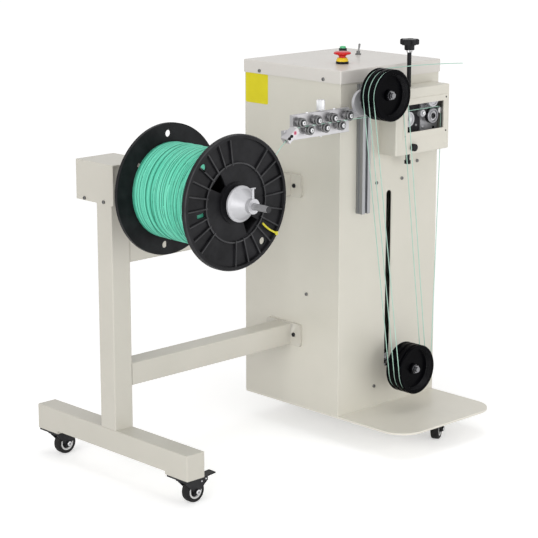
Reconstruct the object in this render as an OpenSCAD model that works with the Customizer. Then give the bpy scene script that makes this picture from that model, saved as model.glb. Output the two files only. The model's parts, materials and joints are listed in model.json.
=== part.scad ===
// Cable prefeeding machine: a spool stand joined by two beams to a steel cabinet that straightens
// the wire, feeds it and stores a loop of it between a fixed and a falling pulley.
// X runs along the cabinet's front to the right, Y runs from the front to the back, Z is up.

/* [Cabinet] */
// Width of the cabinet
cab_w = 330; // [315:1:400]
// Depth of the cabinet
cab_d = 310; // [260:1:380]
// Height of the cabinet walls above the base plate
cab_h = 801; // [790:1:900]
// Thickness of the cabinet, lid and cover sheet
sheet_t = 2; // [1.5:0.1:3]
// Height of the lid's skirt
lid_skirt = 30; // [20:1:32]
// Clearance between the lid's skirt and the cabinet walls
lid_gap = 1; // [0.5:0.1:3]
// Width of the return flanges that hold the rear panel
return_w = 18; // [12:1:30]

/* [Base plate and casters] */
// Thickness of the base plate
base_t = 5; // [4:0.5:8]
// How far the base plate stands out in front of the cabinet
base_front = 205; // [180:1:260]
// Radius of the base plate's front corners
base_r = 60; // [30:1:80]
// Height from the floor to the top of the casters
caster_h = 62; // [60:0.5:70]
// Diameter of the caster wheels
wheel_d = 50; // [44:1:50]
// Width of the caster wheels
wheel_w = 20; // [16:0.5:24]
// Diameter of the casters' axles
axle_d = 8; // [6:0.5:10]
// Diameter of the pale hub inside the tyre
hub_d = 34; // [28:0.5:36]
// Distance from the cabinet's left side to its casters
caster_x = 180; // [150:1:200]
// Distance from a caster's swivel axis to its wheel's axle
trail = 22; // [18:1:26]
// Thickness of the casters' top plates
caster_plate_t = 3; // [2:0.5:4]
// Diameter of the casters' swivel pins
king_d = 8; // [6:0.5:10]
// Thickness of the fork legs
leg_t = 2.5; // [2:0.1:3.5]

/* [Stand] */
// Distance from the post to the cabinet
stand_gap = 489; // [450:1:560]
// Outside width of the square tubes
tube = 50; // [46:1:60]
// Wall of the square tubes
tube_wall = 2; // [1.5:0.1:4]
// Length of the foot beam
foot_len = 513; // [460:1:600]
// How far the foot beam reaches in front of the cabinet's front face
foot_front = 85; // [60:1:120]
// Thickness of the pads between the foot beam and its casters
pad_t = 8; // [4:0.5:12]
// Length of those pads
pad_len = 71; // [64:1:90]
// Height of the post above the foot beam
post_h = 498; // [480:1:560]
// Distance from the cabinet's front face back to the post
post_y = 149; // [130:1:170]
// Height of the lower beam's underside above the floor
low_beam_z = 213; // [180:1:300]
// Thickness of the beams' flange plates
flange_t = 7; // [5:0.5:10]
// Width of each flange ear beside its beam
flange_ear = 32; // [24:1:40]
// Depth of the gusset under the upper beam
gusset_h = 80; // [60:1:110]
// Length of the gusset along the upper beam's underside
gusset_len = 250; // [200:1:300]

/* [Spool head] */
// Width of the head box on the post
head_w = 106; // [96:1:130]
// Depth of the head box
head_d = 126; // [110:1:150]
// Height of the head box
head_h = 87; // [80:1:110]
// How far the head box stands out in front of the post
head_lap = 7; // [5:0.5:12]
// Depth of the recess in the head box's open front
head_recess = 6; // [3:0.5:10]
// Height of the spool axis above the post
axis_h = 47; // [42:1:52]
// Diameter of the spool shaft
shaft_d = 15; // [12:0.5:18]
// Diameter of the shaft's free end
shaft_end_d = 14; // [8:0.5:15]
// Length of the shaft's free end in front of the cone
shaft_end = 40; // [20:1:60]
// Gap between the head box and the spool
spool_gap = 109; // [90:1:130]

/* [Spool] */
// Diameter of the spool's flanges
spool_d = 277; // [240:1:290]
// Overall width of the spool
spool_w = 218; // [180:1:240]
// Thickness of the flange rims
rim_t = 10; // [8:0.5:14]
// Width of the flange rims
rim_w = 8; // [5:0.5:12]
// Thickness of the flange webs
web_t = 4; // [3:0.5:6]
// Diameter of the ring that the ribs start from
rib_ring_d = 158; // [140:1:180]
// Thickness of the ribs and of that ring
rib_t = 3; // [2:0.1:4]
// Diameter of the spool's barrel
barrel_d = 154; // [150:1:160]
// Diameter of the bore that the cones centre
spool_bore = 56; // [50:1:64]
// Diameter of the wound wire
wind_d = 202; // [180:1:216]
// Turns drawn in the outer layer of the winding
wind_turns = 24; // [12:1:24]
// Gap between neighbouring turns of the drawn layer
turn_gap = 0.5; // [0.45:0.05:0.8]

/* [Wire] */
// Diameter of the wire
wire_d = 2; // [1:0.1:2.4]
// Clearance between the wire and what it runs over
wire_gap = 0.3; // [0.2:0.05:0.5]
// Height of the wire through the straightener and the feed unit
line_z = 767; // [750:1:780]
// Distance of that wire in front of the cabinet
line_y = 42; // [40:1:44]

/* [Pulleys] */
// Diameter of the loop pulleys
pulley_d = 116; // [100:1:117]
// Width of the loop pulleys
pulley_w = 48; // [44:1:54]
// Distance between their grooves
groove_pitch = 16; // [13:0.5:16.5]
// Depth of their grooves
groove_depth = 4.3; // [3.5:0.1:6]
// Distance of the middle groove in front of the cabinet
pulley_y = 75; // [73:0.5:80]
// Diameter of the pulleys' shafts
pulley_shaft_d = 12; // [8:0.5:14]
// Depth of the recess in their front faces
pulley_recess = 14; // [8:1:20]
// Upper pulley: distance from the cabinet's left side
upper_x = 66; // [60:1:67]
// Upper pulley: height of its axis above the floor
upper_z = 818; // [800:1:830]
// Lower pulley: distance from the cabinet's left side
slot_x = 164; // [150:1:180]
// Lower pulley: height of its axis at the bottom of its travel
rest_z = 168; // [160:1:190]
// Travel of the lower pulley
travel = 400; // [300:1:410]
// Width of the slot in the cabinet's front
slot_w = 17; // [16:0.5:22]

/* [Straightener] */
// Distance from the cabinet's left side to the straightener plate's left end
str_left = 178; // [174:1:190]
// Length of the straightener plate
str_len = 175; // [170:1:190]
// Height of the straightener plate
str_h = 54; // [50:1:60]
// Thickness of the straightener plate
str_t = 10; // [8:0.5:11]
// Diameter of the straightening rollers
roller_d = 22; // [20:0.5:24]
// Width of the straightening rollers
roller_w = 12; // [9:0.5:12]
// Distance between rollers of one row
roller_pitch = 49; // [46:0.5:50]
// Depth of the rollers' grooves
roller_groove = 3; // [2.2:0.1:3.5]
// Diameter of the rollers' axles
roller_axle = 6; // [4:0.5:7]
// Diameter of the clamping disc
disc_d = 55; // [40:1:57]
// Thickness of the clamping disc
disc_t = 8; // [5:0.5:10]
// Width of the aluminium profile rail
rail_w = 26; // [20:1:30]
// Depth of the aluminium profile rail
rail_d = 20; // [16:0.5:22]
// Length of the aluminium profile rail
rail_len = 296; // [280:1:300]
// Diameter of the adjusting knob
adjust_d = 20; // [14:1:26]

/* [Feed unit] */
// Distance from the cabinet's left side to the feed box
feed_x = 126; // [125:1:130]
// Width of the feed box
feed_w = 182; // [176:1:184]
// Depth of the feed box
feed_d = 54; // [52:1:56]
// Height of the feed box
feed_h = 151; // [146:1:160]
// Height of the feed box's underside above the floor
feed_z = 668; // [660:1:672]
// Width of the window
window_w = 124; // [116:1:130]
// Height of the window
window_h = 63; // [55:1:70]
// Diameter of the feed wheels
feed_wheel_d = 35.4; // [30:0.1:36]
// Width of the feed wheels
feed_wheel_w = 12; // [8:0.5:12]
// Diameter of the small tension roller
tension_d = 17; // [12:0.5:20]
// Diameter of the feed unit's axles
feed_axle = 6; // [4:0.5:8]
// Diameter of the press screw's rod
rod_d = 10; // [6:0.5:10]
// Distance of the press screw in front of the cabinet
rod_y = 28; // [27:0.5:29]
// Height of the press screw above the lid
rod_rise = 33; // [25:1:60]
// How far the press block lifts
press_lift = 6; // [3:0.5:8]
// Diameter of the star knob
star_d = 44; // [34:1:56]
// Diameter of the thumb knob
thumb_d = 17; // [12:0.5:22]

/* [Controls] */
// Diameter of the emergency stop's head
stop_d = 40; // [32:1:44]
// Diameter of the emergency stop's ring
stop_ring_d = 29; // [26:0.5:34]
// Travel of the emergency stop
stop_travel = 4; // [2:0.5:5]
// Diameter of the start button's cap
button_d = 15; // [12:0.5:18]
// Travel of the start button
button_travel = 3; // [1.5:0.5:3]
// Diameter of the toggle switch's bush
toggle_d = 12; // [10:0.5:16]
// Tilt of the toggle lever
toggle_tilt = 12; // [5:1:18]

/* [Hidden] */
$fn = 48;
paint = [0.82, 0.81, 0.77];
paint_light = [0.86, 0.85, 0.83];
black = [0.09, 0.09, 0.1];
dark = [0.2, 0.2, 0.22];
aluminium = [0.76, 0.77, 0.79];
steel = [0.62, 0.63, 0.65];
wire_green = [0.36, 0.76, 0.6];
red = [0.75, 0.1, 0.1];
yellow = [0.95, 0.82, 0.3];

// Clearances: a running fit, a flat running face and a loose opening
run_gap = 0.05;
face_gap = 0.3;
loose_gap = 1;
// Overcut past a face that a cut goes through
over = 1;

// Heights
base_z = caster_h;
base_top = base_z + base_t;
wall_top = base_top + cab_h;
lid_top = wall_top + sheet_t;
foot_z = caster_h + pad_t;
foot_top = foot_z + tube;
post_top = foot_top + post_h;
high_beam_z = post_top - tube;
spool_z = post_top + axis_h;

// Places along X
stand_r = -stand_gap;
stand_l = stand_r - tube;
spool_x = stand_l + head_w / 2;

// Places along Y
foot_back = foot_len - foot_front;
head_front = post_y - head_lap;
head_back = head_front + head_d;
bearing_front = head_front + head_recess;
spool_back = head_front - spool_gap;
spool_front = spool_back - spool_w;

// Middle of the whole machine, where the origin lies
lid_over = lid_gap + sheet_t;
screw_t = 2.2;
x_mid = (spool_x - spool_d / 2 + cab_w + lid_over + screw_t) / 2;

// Casters: swivel axis and heading of each, and which have a brake
caster_inset = 65;
casters = [[stand_l + tube / 2, -foot_front + pad_len / 2, 0],
           [stand_l + tube / 2, foot_back - pad_len / 2, 0],
           [caster_x, caster_inset - base_front, 29],
           [caster_x, cab_d - caster_inset, 0]];
braked = 2;
caster_plate = [48, 62];
race_d = 38;
race_t = 4;
fork_t = 3;
king_head_t = 2;
fork_top = caster_h - caster_plate_t - face_gap;
fork_under = fork_top - race_t - fork_t;
axle_z = wheel_d / 2;
leg_in = wheel_w / 2 + loose_gap;
leg_out = leg_in + leg_t;
pedal_pin_d = 4;
pedal_s = trail + wheel_d / 2 + 1;
pedal_z = fork_under - 2;
pedal_reach = 30;
pedal_t = 3;
pedal_angle = 5;

// Spool: radii
flange_r = spool_d / 2;
barrel_wall = 3.5;
core_pitch = (spool_w - 2 * rim_t - 1) / (wind_turns + 1);
turn_d = core_pitch - turn_gap;
wind_rings = 24;
wind_r = wind_d / 2 - turn_d / 2;
core_d = 2 * ((wind_r - turn_d / 2) * cos(180 / wind_rings) - face_gap);
cone_rim_r = 37;
cone_collar_r = 15.5;
cone_rim_out = 10;
cone_rim_t = 4;
cone_nose = 12;
cone_collar_y = 27;
collar_len = 10;
shaft_tip = spool_front - cone_rim_out - cone_rim_t - cone_collar_y - collar_len - shaft_end;
y_mid = (shaft_tip + foot_back) / 2;

// Pulleys
groove_r = pulley_d / 2 - groove_depth;
wrap_r = groove_r + wire_gap + wire_d / 2;
groove_floor = wire_d + 1;
groove_mouth = groove_floor + 5;
pulley_back = -pulley_y + pulley_w / 2;
pulley_front = -pulley_y - pulley_w / 2;
shaft_collar = 9;
slot_end = 3;
upper = [upper_x, upper_z];
lower = [slot_x, rest_z];
span = lower - upper;
left_turn = atan2(-span[0], span[1]) + 360;
groove_y = [for (i = [-1:1]) -pulley_y - i * groove_pitch];

// Straightener: its rollers stand in two rows about the wire
roller_rise = roller_d / 2 - roller_groove + wire_gap + wire_d / 2;
str_front = -rail_d - str_t;
str_z = line_z - 29;
row_x = -str_left + 14;
top_rollers = [for (i = [0:3]) [row_x + i * roller_pitch, line_z + roller_rise]];
low_rollers = [for (i = [0:2]) [row_x + (i + 0.5) * roller_pitch, line_z - roller_rise]];
rollers = concat(top_rollers, low_rollers);
disc_x = upper_x - 30;
disc_z = upper_z - 18;
rail_top = upper_z + 18;
tongue_t = 6;
knob_x = -str_left + 90;
knob_h = 25;
knob_stem = 6;
inlet = [36, 16, 15];
inlet_bore = 6;
supply_slope = 36;

// Feed unit
feed_top = feed_z + feed_h;
window_x = feed_x + 37;
window_z = feed_z + 51;
wheel_rise = feed_wheel_d / 2 + wire_gap + wire_d / 2;
guide_pos = [feed_x + 51, line_z - wheel_rise];
drive_pos = [feed_x + 133, line_z - wheel_rise];
press_pos = [feed_x + 133, line_z + wheel_rise];
tension_pos = [feed_x + 98, line_z - tension_d / 2 - wire_gap - wire_d / 2];
post_r = 7;
turn_pos = [drive_pos[0] + 24, line_z - post_r - wire_gap - wire_d / 2];
outlet_x = turn_pos[0] + post_r + wire_gap + wire_d / 2;
rod_x = feed_x + 69;
plate_t = 4;
plate_back = 14;
plate_front = -plate_back - plate_t;
rod_low = feed_z - 27;
rod_top = lid_top + rod_rise;
star_h = 13;
star_hub_d = 23;
star_hub_h = 12;
thumb_pos = [feed_x + 56, feed_z + 16];
block_z = press_pos[1] - 6;
block_h = 20;

// Dancer guide inside the cabinet
guide_rod_d = 10;
guide_rod_y = sheet_t + 17;
guide_half = 30;
guide_block = [110, 30, 20];
guide_low = rest_z - 52;
guide_high = rest_z + travel + 34;
carriage = [88, 24, 40];

// Controls on the lid
stop_pos = [97, 89];
button_pos = [cab_w - 59, cab_d - 55];
toggle_pos = [cab_w - 80, cab_d - 126];
stop_ring_h = 5;
stop_collar_h = 9;
stop_stem_d = 16;
bezel_d = button_d + 4;
bezel_h = 8;
toggle_h = 9;
lever_d = 4;

// Route of the free wire that leaves the upper pulley
exit_route = [[upper_x, groove_y[0], upper_z + wrap_r],
              [upper_x + 40, groove_y[0], upper_z + wrap_r],
              [upper_x + 100, groove_y[0], upper_z + wrap_r - 1],
              [upper_x + 160, groove_y[0], upper_z + wrap_r - 3],
              [upper_x + 220, groove_y[0], upper_z + wrap_r - 6],
              [upper_x + 280, groove_y[0], upper_z + wrap_r - 10]];
exit_step = 5;

// Cylinder along Y between two depths
module rod_along_y(x, z, y_from, y_to, d) {
    translate([x, y_to, z])
        rotate([90, 0, 0])
            cylinder(d = d, h = y_to - y_from);
}

// Turned piece about an axis along Y: the profile gives radius and distance towards the front
module turned_along_y(x, y, z, profile) {
    translate([x, y, z])
        rotate([90, 0, 0])
            rotate_extrude()
                polygon(profile);
}

// Turned piece about a vertical axis
module turned(pos, profile) {
    translate(pos)
        rotate_extrude()
            polygon(profile);
}

// Square tube along X, Y or Z, open at both ends
module square_tube(size, axis) {
    inner = [for (i = [0:2]) i == axis ? size[i] + 2 * over : size[i] - 2 * tube_wall];
    start = [for (i = [0:2]) i == axis ? -over : tube_wall];
    difference() {
        cube(size);
        translate(start)
            cube(inner);
    }
}

function unit(v) = v / norm(v);
function heading(path, i) =
    let (ahead = i < len(path) - 1 ? unit(path[i + 1] - path[i]) : [0, 0, 0],
         behind = i > 0 ? unit(path[i] - path[i - 1]) : [0, 0, 0])
    unit(ahead + behind);
function ring(path, i, r, sides, turn) =
    let (along = heading(path, i), side = unit(cross(along, [0, 1, 0])), up = cross(side, along))
    [for (j = [0:sides - 1])
        let (a = turn + 360 * j / sides)
        path[i] + r * (cos(a) * side + sin(a) * up)];
function resampled(path, step) =
    concat([for (i = [0:len(path) - 2])
                let (n = max(1, round(norm(path[i + 1] - path[i]) / step)))
                for (k = [0:n - 1]) path[i] + (path[i + 1] - path[i]) * k / n],
           [path[len(path) - 1]]);

// Round tube swept along a path that never runs along Y
module swept_tube(path, d, sides, turn = 0) {
    last = len(path) - 1;
    corners = [for (i = [0:last]) each ring(path, i, d / 2, sides, turn)];
    walls = [for (i = [0:last - 1]) for (j = [0:sides - 1])
                let (a = i * sides + j, b = i * sides + (j + 1) % sides)
                each [[a, b, b + sides], [a, b + sides, a + sides]]];
    first_cap = [for (j = [1:sides - 2]) [0, j + 1, j]];
    last_cap = [for (j = [1:sides - 2]) [last * sides, last * sides + j, last * sides + j + 1]];
    polyhedron(corners, concat(walls, first_cap, last_cap));
}

// Arc of wire about a pulley's axis, from one angle over a sweep
module wire_arc(centre, y, from, sweep) {
    translate([centre[0], y, centre[1]])
        rotate([90, 0, 0])
            rotate([0, 0, from])
                rotate_extrude(angle = sweep)
                    translate([wrap_r, 0])
                        circle(d = wire_d);
}

// Straight stretch of wire that stops short of both its ends
module strand(from, to) {
    run = to - from;
    long = norm(run);
    translate(from)
        rotate([0, acos(run[2] / long), atan2(run[1], run[0])])
            translate([0, 0, face_gap])
                cylinder(d = wire_d, h = long - 2 * face_gap);
}

function on_pulley(centre, angle, y) =
    [centre[0] + wrap_r * cos(angle), y, centre[1] + wrap_r * sin(angle)];

// Cabinet and base

module base_outline() {
    translate([0, base_r - base_front])
        square([cab_w, cab_d + base_front - base_r]);
    translate([base_r, -base_front])
        square([cab_w - 2 * base_r, base_r]);
    for (x = [base_r, cab_w - base_r])
        translate([x, base_r - base_front])
            circle(r = base_r);
}

module base_plate() {
    color(paint)
        translate([0, 0, base_z])
            linear_extrude(base_t)
                base_outline();
}

module slot_cut() {
    for (z = [rest_z - slot_end, rest_z + travel + slot_end])
        rod_along_y(slot_x, z, -over, sheet_t + over, slot_w);
    translate([slot_x - slot_w / 2, -over, rest_z - slot_end])
        cube([slot_w, sheet_t + 2 * over, travel + 2 * slot_end]);
}

module cabinet_shell() {
    color(paint)
        difference() {
            translate([0, 0, base_top])
                union() {
                    cube([cab_w, sheet_t, cab_h]);
                    for (x = [0, cab_w - sheet_t])
                        translate([x, 0, 0])
                            cube([sheet_t, cab_d, cab_h]);
                    for (x = [0, cab_w - return_w])
                        translate([x, cab_d - 2 * sheet_t, 0])
                            cube([return_w, sheet_t, cab_h]);
                }
            slot_cut();
            rod_along_y(drive_pos[0], drive_pos[1], -over, sheet_t + over, feed_axle + 2 + 2 * loose_gap);
        }
}

module rear_panel() {
    color(paint)
        translate([sheet_t + face_gap, cab_d - sheet_t, base_top])
            cube([cab_w - 2 * sheet_t - 2 * face_gap, sheet_t, cab_h]);
}

module top_cover() {
    color(paint_light)
        difference() {
            translate([-lid_over, -lid_over, lid_top - lid_skirt])
                cube([cab_w + 2 * lid_over, cab_d + 2 * lid_over, lid_skirt]);
            translate([-lid_gap, -lid_gap, lid_top - lid_skirt - over])
                cube([cab_w + 2 * lid_gap, cab_d + 2 * lid_gap, lid_skirt - sheet_t + over]);
        }
}

// Screw heads that show on the lid, the cabinet, the head box and the flanges
module fasteners() {
    side_y = [51, cab_d - 52];
    color(steel) {
        for (y = side_y) {
            translate([-lid_over, y, lid_top - 23])
                rotate([0, -90, 0])
                    cylinder(d = 7, h = screw_t);
            translate([cab_w + lid_over, y, lid_top - 23])
                rotate([0, 90, 0])
                    cylinder(d = 7, h = screw_t);
        }
        translate([0, 104, base_top + 274])
            rotate([0, -90, 0])
                cylinder(d = 7, h = screw_t);
        for (z = [guide_low, guide_high])
            for (side = [-1, 1])
                rod_along_y(slot_x + side * 43, z, -screw_t, 0, 7);
        rod_along_y(slot_x + 95, feed_z - 31, -screw_t, 0, 7);
        for (y = [head_front + 31, head_front + 96])
            translate([stand_l, y, post_top + 5])
                rotate([0, -90, 0])
                    cylinder(d = 7, h = screw_t);
        for (x = [30, cab_w - 30])
            for (z = [base_top + 60, wall_top - 60])
                rod_along_y(x, z, cab_d, cab_d + screw_t, 7);
    }
    color(black)
        for (z = [low_beam_z, high_beam_z])
            for (y = [post_y - 10, post_y + tube + 10])
                translate([-flange_t, y, z + tube / 2])
                    rotate([0, -90, 0])
                        cylinder(d = 10, h = 5);
}

// Two rods and their end blocks, bolted to the inside of the cabinet's front
module dancer_guide() {
    color(steel)
        for (side = [-1, 1])
            translate([slot_x + side * guide_half, guide_rod_y, guide_low + guide_block[2] / 2])
                cylinder(d = guide_rod_d, h = guide_high - guide_low - guide_block[2]);
    color(aluminium)
        for (z = [guide_low, guide_high])
            translate([slot_x - guide_block[0] / 2, sheet_t, z - guide_block[2] / 2])
                cube(guide_block);
}

// Spool stand

// Closed foot with a vent hole underneath for the paint bath
module foot_beam() {
    vent_d = 8;
    color(paint) {
        difference() {
            translate([stand_l, tube_wall - foot_front, foot_z])
                square_tube([tube, foot_len - 2 * tube_wall, tube], 1);
            translate([stand_l + tube / 2, post_y + tube / 2, foot_z - over])
                cylinder(d = vent_d, h = tube_wall + 2 * over);
        }
        for (y = [-foot_front, foot_back - tube_wall])
            translate([stand_l, y, foot_z])
                cube([tube, tube_wall, tube]);
        for (y = [-foot_front, foot_back - pad_len])
            translate([stand_l, y, caster_h])
                cube([tube, pad_len, pad_t]);
    }
}

module post() {
    color(paint)
        translate([stand_l, post_y, foot_top])
            square_tube([tube, tube, post_h], 2);
}

// Flange plate with round corners on the cabinet's left side
module beam_flange(z) {
    corner = 8;
    wide = tube + 2 * flange_ear;
    high = tube + 4;
    translate([-flange_t, post_y - flange_ear, z - 2])
        rotate([90, 0, 90])
            linear_extrude(flange_t)
                union() {
                    translate([corner, 0])
                        square([wide - 2 * corner, high]);
                    translate([0, corner])
                        square([wide, high - 2 * corner]);
                    for (y = [corner, wide - corner])
                        for (v = [corner, high - corner])
                            translate([y, v])
                                circle(r = corner);
                }
}

module cross_beam(z) {
    translate([stand_r, post_y, z])
        square_tube([stand_gap - flange_t, tube, tube], 0);
    beam_flange(z);
}

module lower_beam() {
    color(paint)
        cross_beam(low_beam_z);
}

// The upper beam has a deep gusset of folded sheet towards the post
module upper_beam() {
    bevel = 60;
    color(paint) {
        cross_beam(high_beam_z);
        translate([stand_r, post_y + tube, high_beam_z - gusset_h])
            rotate([90, 0, 0])
                difference() {
                    linear_extrude(tube)
                        polygon([[0, 0], [gusset_len - bevel, 0], [gusset_len, gusset_h], [0, gusset_h]]);
                    translate([0, 0, sheet_t])
                        linear_extrude(tube - 2 * sheet_t)
                            polygon([[-over, sheet_t], [gusset_len - bevel - sheet_t, sheet_t],
                                     [gusset_len - 3 * sheet_t, gusset_h - sheet_t],
                                     [-over, gusset_h - sheet_t]]);
                }
    }
}

// Bent cover, open below and at the front
module head_box() {
    color(paint)
        translate([stand_l, head_front, post_top])
            difference() {
                cube([head_w, head_d, head_h]);
                translate([sheet_t, -over, -over])
                    cube([head_w - 2 * sheet_t, head_d - sheet_t + over, head_h - sheet_t + over]);
            }
}

// Welded bearing bracket under the cover, with two flange bearings for the shaft
module spool_bearing() {
    plate = 8;
    inside = head_w - 2 * sheet_t - 2 * face_gap;
    deep = head_d - head_recess - sheet_t - face_gap;
    tall = head_h - sheet_t - face_gap;
    bearing_d = 42;
    bearing_w = 12;
    left = stand_l + sheet_t + face_gap;
    color(paint)
        difference() {
            union() {
                translate([left, bearing_front, post_top])
                    cube([inside, deep, plate]);
                for (y = [bearing_front, bearing_front + deep - plate])
                    translate([left, y, post_top])
                        cube([inside, plate, tall]);
                for (y = [bearing_front + plate, bearing_front + deep - plate - bearing_w])
                    rod_along_y(spool_x, spool_z, y, y + bearing_w, bearing_d);
            }
            rod_along_y(spool_x, spool_z, bearing_front - over, head_back + over, shaft_d + 2 * run_gap);
        }
}

// Casters

module at_caster(i) {
    translate([casters[i][0], casters[i][1], 0])
        rotate([0, 0, casters[i][2]])
            children();
}

// Top plates with the swivel pins that hold the forks
module caster_plates() {
    color(black)
        for (i = [0:3])
            translate([casters[i][0], casters[i][1], 0]) {
                translate([-caster_plate[0] / 2, -caster_plate[1] / 2, caster_h - caster_plate_t])
                    cube([caster_plate[0], caster_plate[1], caster_plate_t]);
                translate([0, 0, fork_under - face_gap - king_head_t])
                    cylinder(d = king_d + 6, h = king_head_t);
                translate([0, 0, fork_under - face_gap - king_head_t])
                    cylinder(d = king_d, h = caster_h - fork_under + face_gap + king_head_t);
            }
}

module fork_leg() {
    hook = pedal_s + 5;
    rotate([90, 0, 0])
        linear_extrude(leg_t)
            union() {
                translate([trail, axle_z])
                    circle(r = axle_d / 2 + 4);
                polygon([[trail - axle_d / 2 - 4, axle_z], [trail + axle_d / 2 + 4, axle_z],
                         [hook, pedal_z - 5], [hook, fork_under + fork_t],
                         [-king_d, fork_under + fork_t], [-king_d, fork_under - 4]]);
            }
}

module caster_fork(i) {
    nut_t = 4;
    color(black)
        at_caster(i)
            difference() {
                union() {
                    translate([0, 0, fork_top - race_t])
                        cylinder(d = race_d, h = race_t);
                    translate([-king_d - 6, -leg_out, fork_under])
                        cube([pedal_s + king_d, 2 * leg_out, fork_t]);
                    translate([0, -leg_in, 0])
                        fork_leg();
                    translate([0, leg_out, 0])
                        fork_leg();
                    rod_along_y(trail, axle_z, -leg_out, leg_out, axle_d);
                    for (y = [-leg_out - nut_t, leg_out])
                        rod_along_y(trail, axle_z, y, y + nut_t, axle_d + 4);
                    if (i < braked)
                        rod_along_y(pedal_s, pedal_z, -leg_out, leg_out, pedal_pin_d);
                }
                translate([0, 0, fork_under - over])
                    cylinder(d = king_d + 2 * run_gap, h = fork_t + race_t + 2 * over);
            }
}

// Wheel: a soft tyre on a pale hub with a rim on each side
module caster_wheel(i) {
    round_r = 4;
    tread = wheel_d / 2;
    half = wheel_w / 2;
    rim_r = hub_d / 2;
    bore_r = axle_d / 2 + run_gap;
    boss_r = axle_d / 2 + 4;
    dish = 3;
    at_caster(i) {
        color(black)
            turned_along_y(trail, half, axle_z,
                [[rim_r, 0], [tread - round_r, 0], [tread, round_r], [tread, wheel_w - round_r],
                 [tread - round_r, wheel_w], [rim_r, wheel_w]]);
        color(paint_light)
            turned_along_y(trail, half, axle_z,
                [[bore_r, 0], [boss_r, 0], [boss_r + 1, dish], [rim_r - 4, dish], [rim_r - 4, 0],
                 [rim_r, 0],
                 [rim_r, wheel_w], [rim_r - 4, wheel_w], [rim_r - 4, wheel_w - dish],
                 [boss_r + 1, wheel_w - dish], [boss_r, wheel_w], [bore_r, wheel_w]]);
    }
}

module brake_pedal(i) {
    wide = 2 * leg_in - 2 * face_gap;
    barrel = pedal_pin_d / 2 + 2;
    color(black)
        at_caster(i)
            translate([pedal_s, wide / 2, pedal_z])
                rotate([90, 0, 0])
                    linear_extrude(wide)
                        difference() {
                            union() {
                                circle(r = barrel);
                                rotate(pedal_angle)
                                    translate([0, barrel - pedal_t - 0.6])
                                        square([pedal_reach, pedal_t]);
                            }
                            circle(d = pedal_pin_d + 2 * run_gap);
                        }
}

// Spool, its shaft and its cones

module rib_fan(from, to, count) {
    inner = rib_ring_d / 2;
    outer = flange_r - rim_w;
    for (k = [0:count - 1])
        rotate([0, 0, from + (to - from) * k / (count - 1)])
            translate([inner - rib_t / 2, -rib_t / 2, web_t - over])
                cube([outer - inner + rib_t, rib_t, rim_t - web_t - 1 + over]);
}

// One moulded flange lying on its inner face: a web, a rim, a ring and two fans of ribs
module flange() {
    ring_r = rib_ring_d / 2;
    hub_r = spool_bore / 2 + 14;
    window_at = (hub_r + ring_r) / 2;
    window_out = ring_r - 6.5 - window_at;
    hole_at = (ring_r + flange_r) / 2 + 8;
    difference() {
        union() {
            rotate_extrude()
                polygon([[spool_bore / 2, 0], [flange_r, 0], [flange_r, rim_t - 2], [flange_r - 2, rim_t],
                         [flange_r - rim_w, rim_t], [flange_r - rim_w, web_t],
                         [ring_r + rib_t, web_t], [ring_r + rib_t, rim_t - 2], [ring_r, rim_t - 2],
                         [ring_r, web_t], [hub_r, web_t], [hub_r, rim_t - 2], [spool_bore / 2, rim_t - 2]]);
            rib_fan(97, 223, 10);
            rib_fan(-91, 49, 10);
        }
        for (a = [136, 310])
            rotate([0, 0, a]) {
                translate([window_at, 0, -over])
                    linear_extrude(rim_t)
                        polygon([[hub_r + 1 - window_at, -9], [hub_r + 1 - window_at, 9],
                                 [window_out, 19.5], [window_out, -19.5]]);
                translate([hole_at, 0, -over])
                    cylinder(d = 15, h = rim_t);
            }
        rotate([0, 0, 189])
            translate([ring_r + rib_t + 1, -4.5, -over])
                cube([20, 9, rim_t]);
    }
}

// Two flanges on a barrel
module spool() {
    color(black) {
        translate([spool_x, spool_front + rim_t, spool_z])
            rotate([90, 0, 0])
                flange();
        translate([spool_x, spool_back - rim_t, spool_z])
            mirror([0, 1, 0])
                rotate([90, 0, 0])
                    rotate([0, 0, -46])
                        flange();
        turned_along_y(spool_x, spool_back - rim_t, spool_z,
            [[barrel_d / 2 - barrel_wall, 0], [barrel_d / 2, 0], [barrel_d / 2, spool_w - 2 * rim_t],
             [barrel_d / 2 - barrel_wall, spool_w - 2 * rim_t]]);
    }
}

// Outer layer of the wound wire, one tube round a plain core
wind_path = let (turns = [for (i = [0:wind_turns * wind_rings])
                              let (a = 360 * i / wind_rings)
                              [spool_x + wind_r * cos(a),
                               spool_back - rim_t - 0.5 - core_pitch / 2 - core_pitch * i / wind_rings,
                               spool_z + wind_r * sin(a)]],
                 lead = turn_d * [0, 0, 1])
    concat([turns[0] - lead], turns, [turns[len(turns) - 1] + lead]);

module wire_winding() {
    r_in = barrel_d / 2 + face_gap;
    r_out = core_d / 2;
    wide = spool_w - 2 * rim_t - 2 * face_gap;
    color(wire_green) {
        turned_along_y(spool_x, spool_back - rim_t - face_gap, spool_z,
            [[r_in, 0], [r_out, 0], [r_out, wide], [r_in, wide]]);
        swept_tube(wind_path, turn_d, 6, 30);
    }
}

wind_corners = [for (i = [1:len(wind_path) - 2]) ring(wind_path, i, turn_d / 2, 6, 30)];
wind_least = min([for (i = [0:len(wind_corners) - wind_rings - 1])
                      for (a = wind_corners[i]) for (b = wind_corners[i + wind_rings]) norm(a - b)]);
echo("Least gap between turns of the winding", wind_least);

module spool_shaft() {
    stop_d = shaft_d + 10;
    stop_t = 6;
    color(steel) {
        rod_along_y(spool_x, spool_z, shaft_tip, shaft_tip + shaft_end, shaft_end_d);
        rod_along_y(spool_x, spool_z, shaft_tip + shaft_end, head_back - sheet_t - loose_gap, shaft_d);
        rod_along_y(spool_x, spool_z, bearing_front - face_gap - stop_t, bearing_front - face_gap, stop_d);
    }
}

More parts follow.
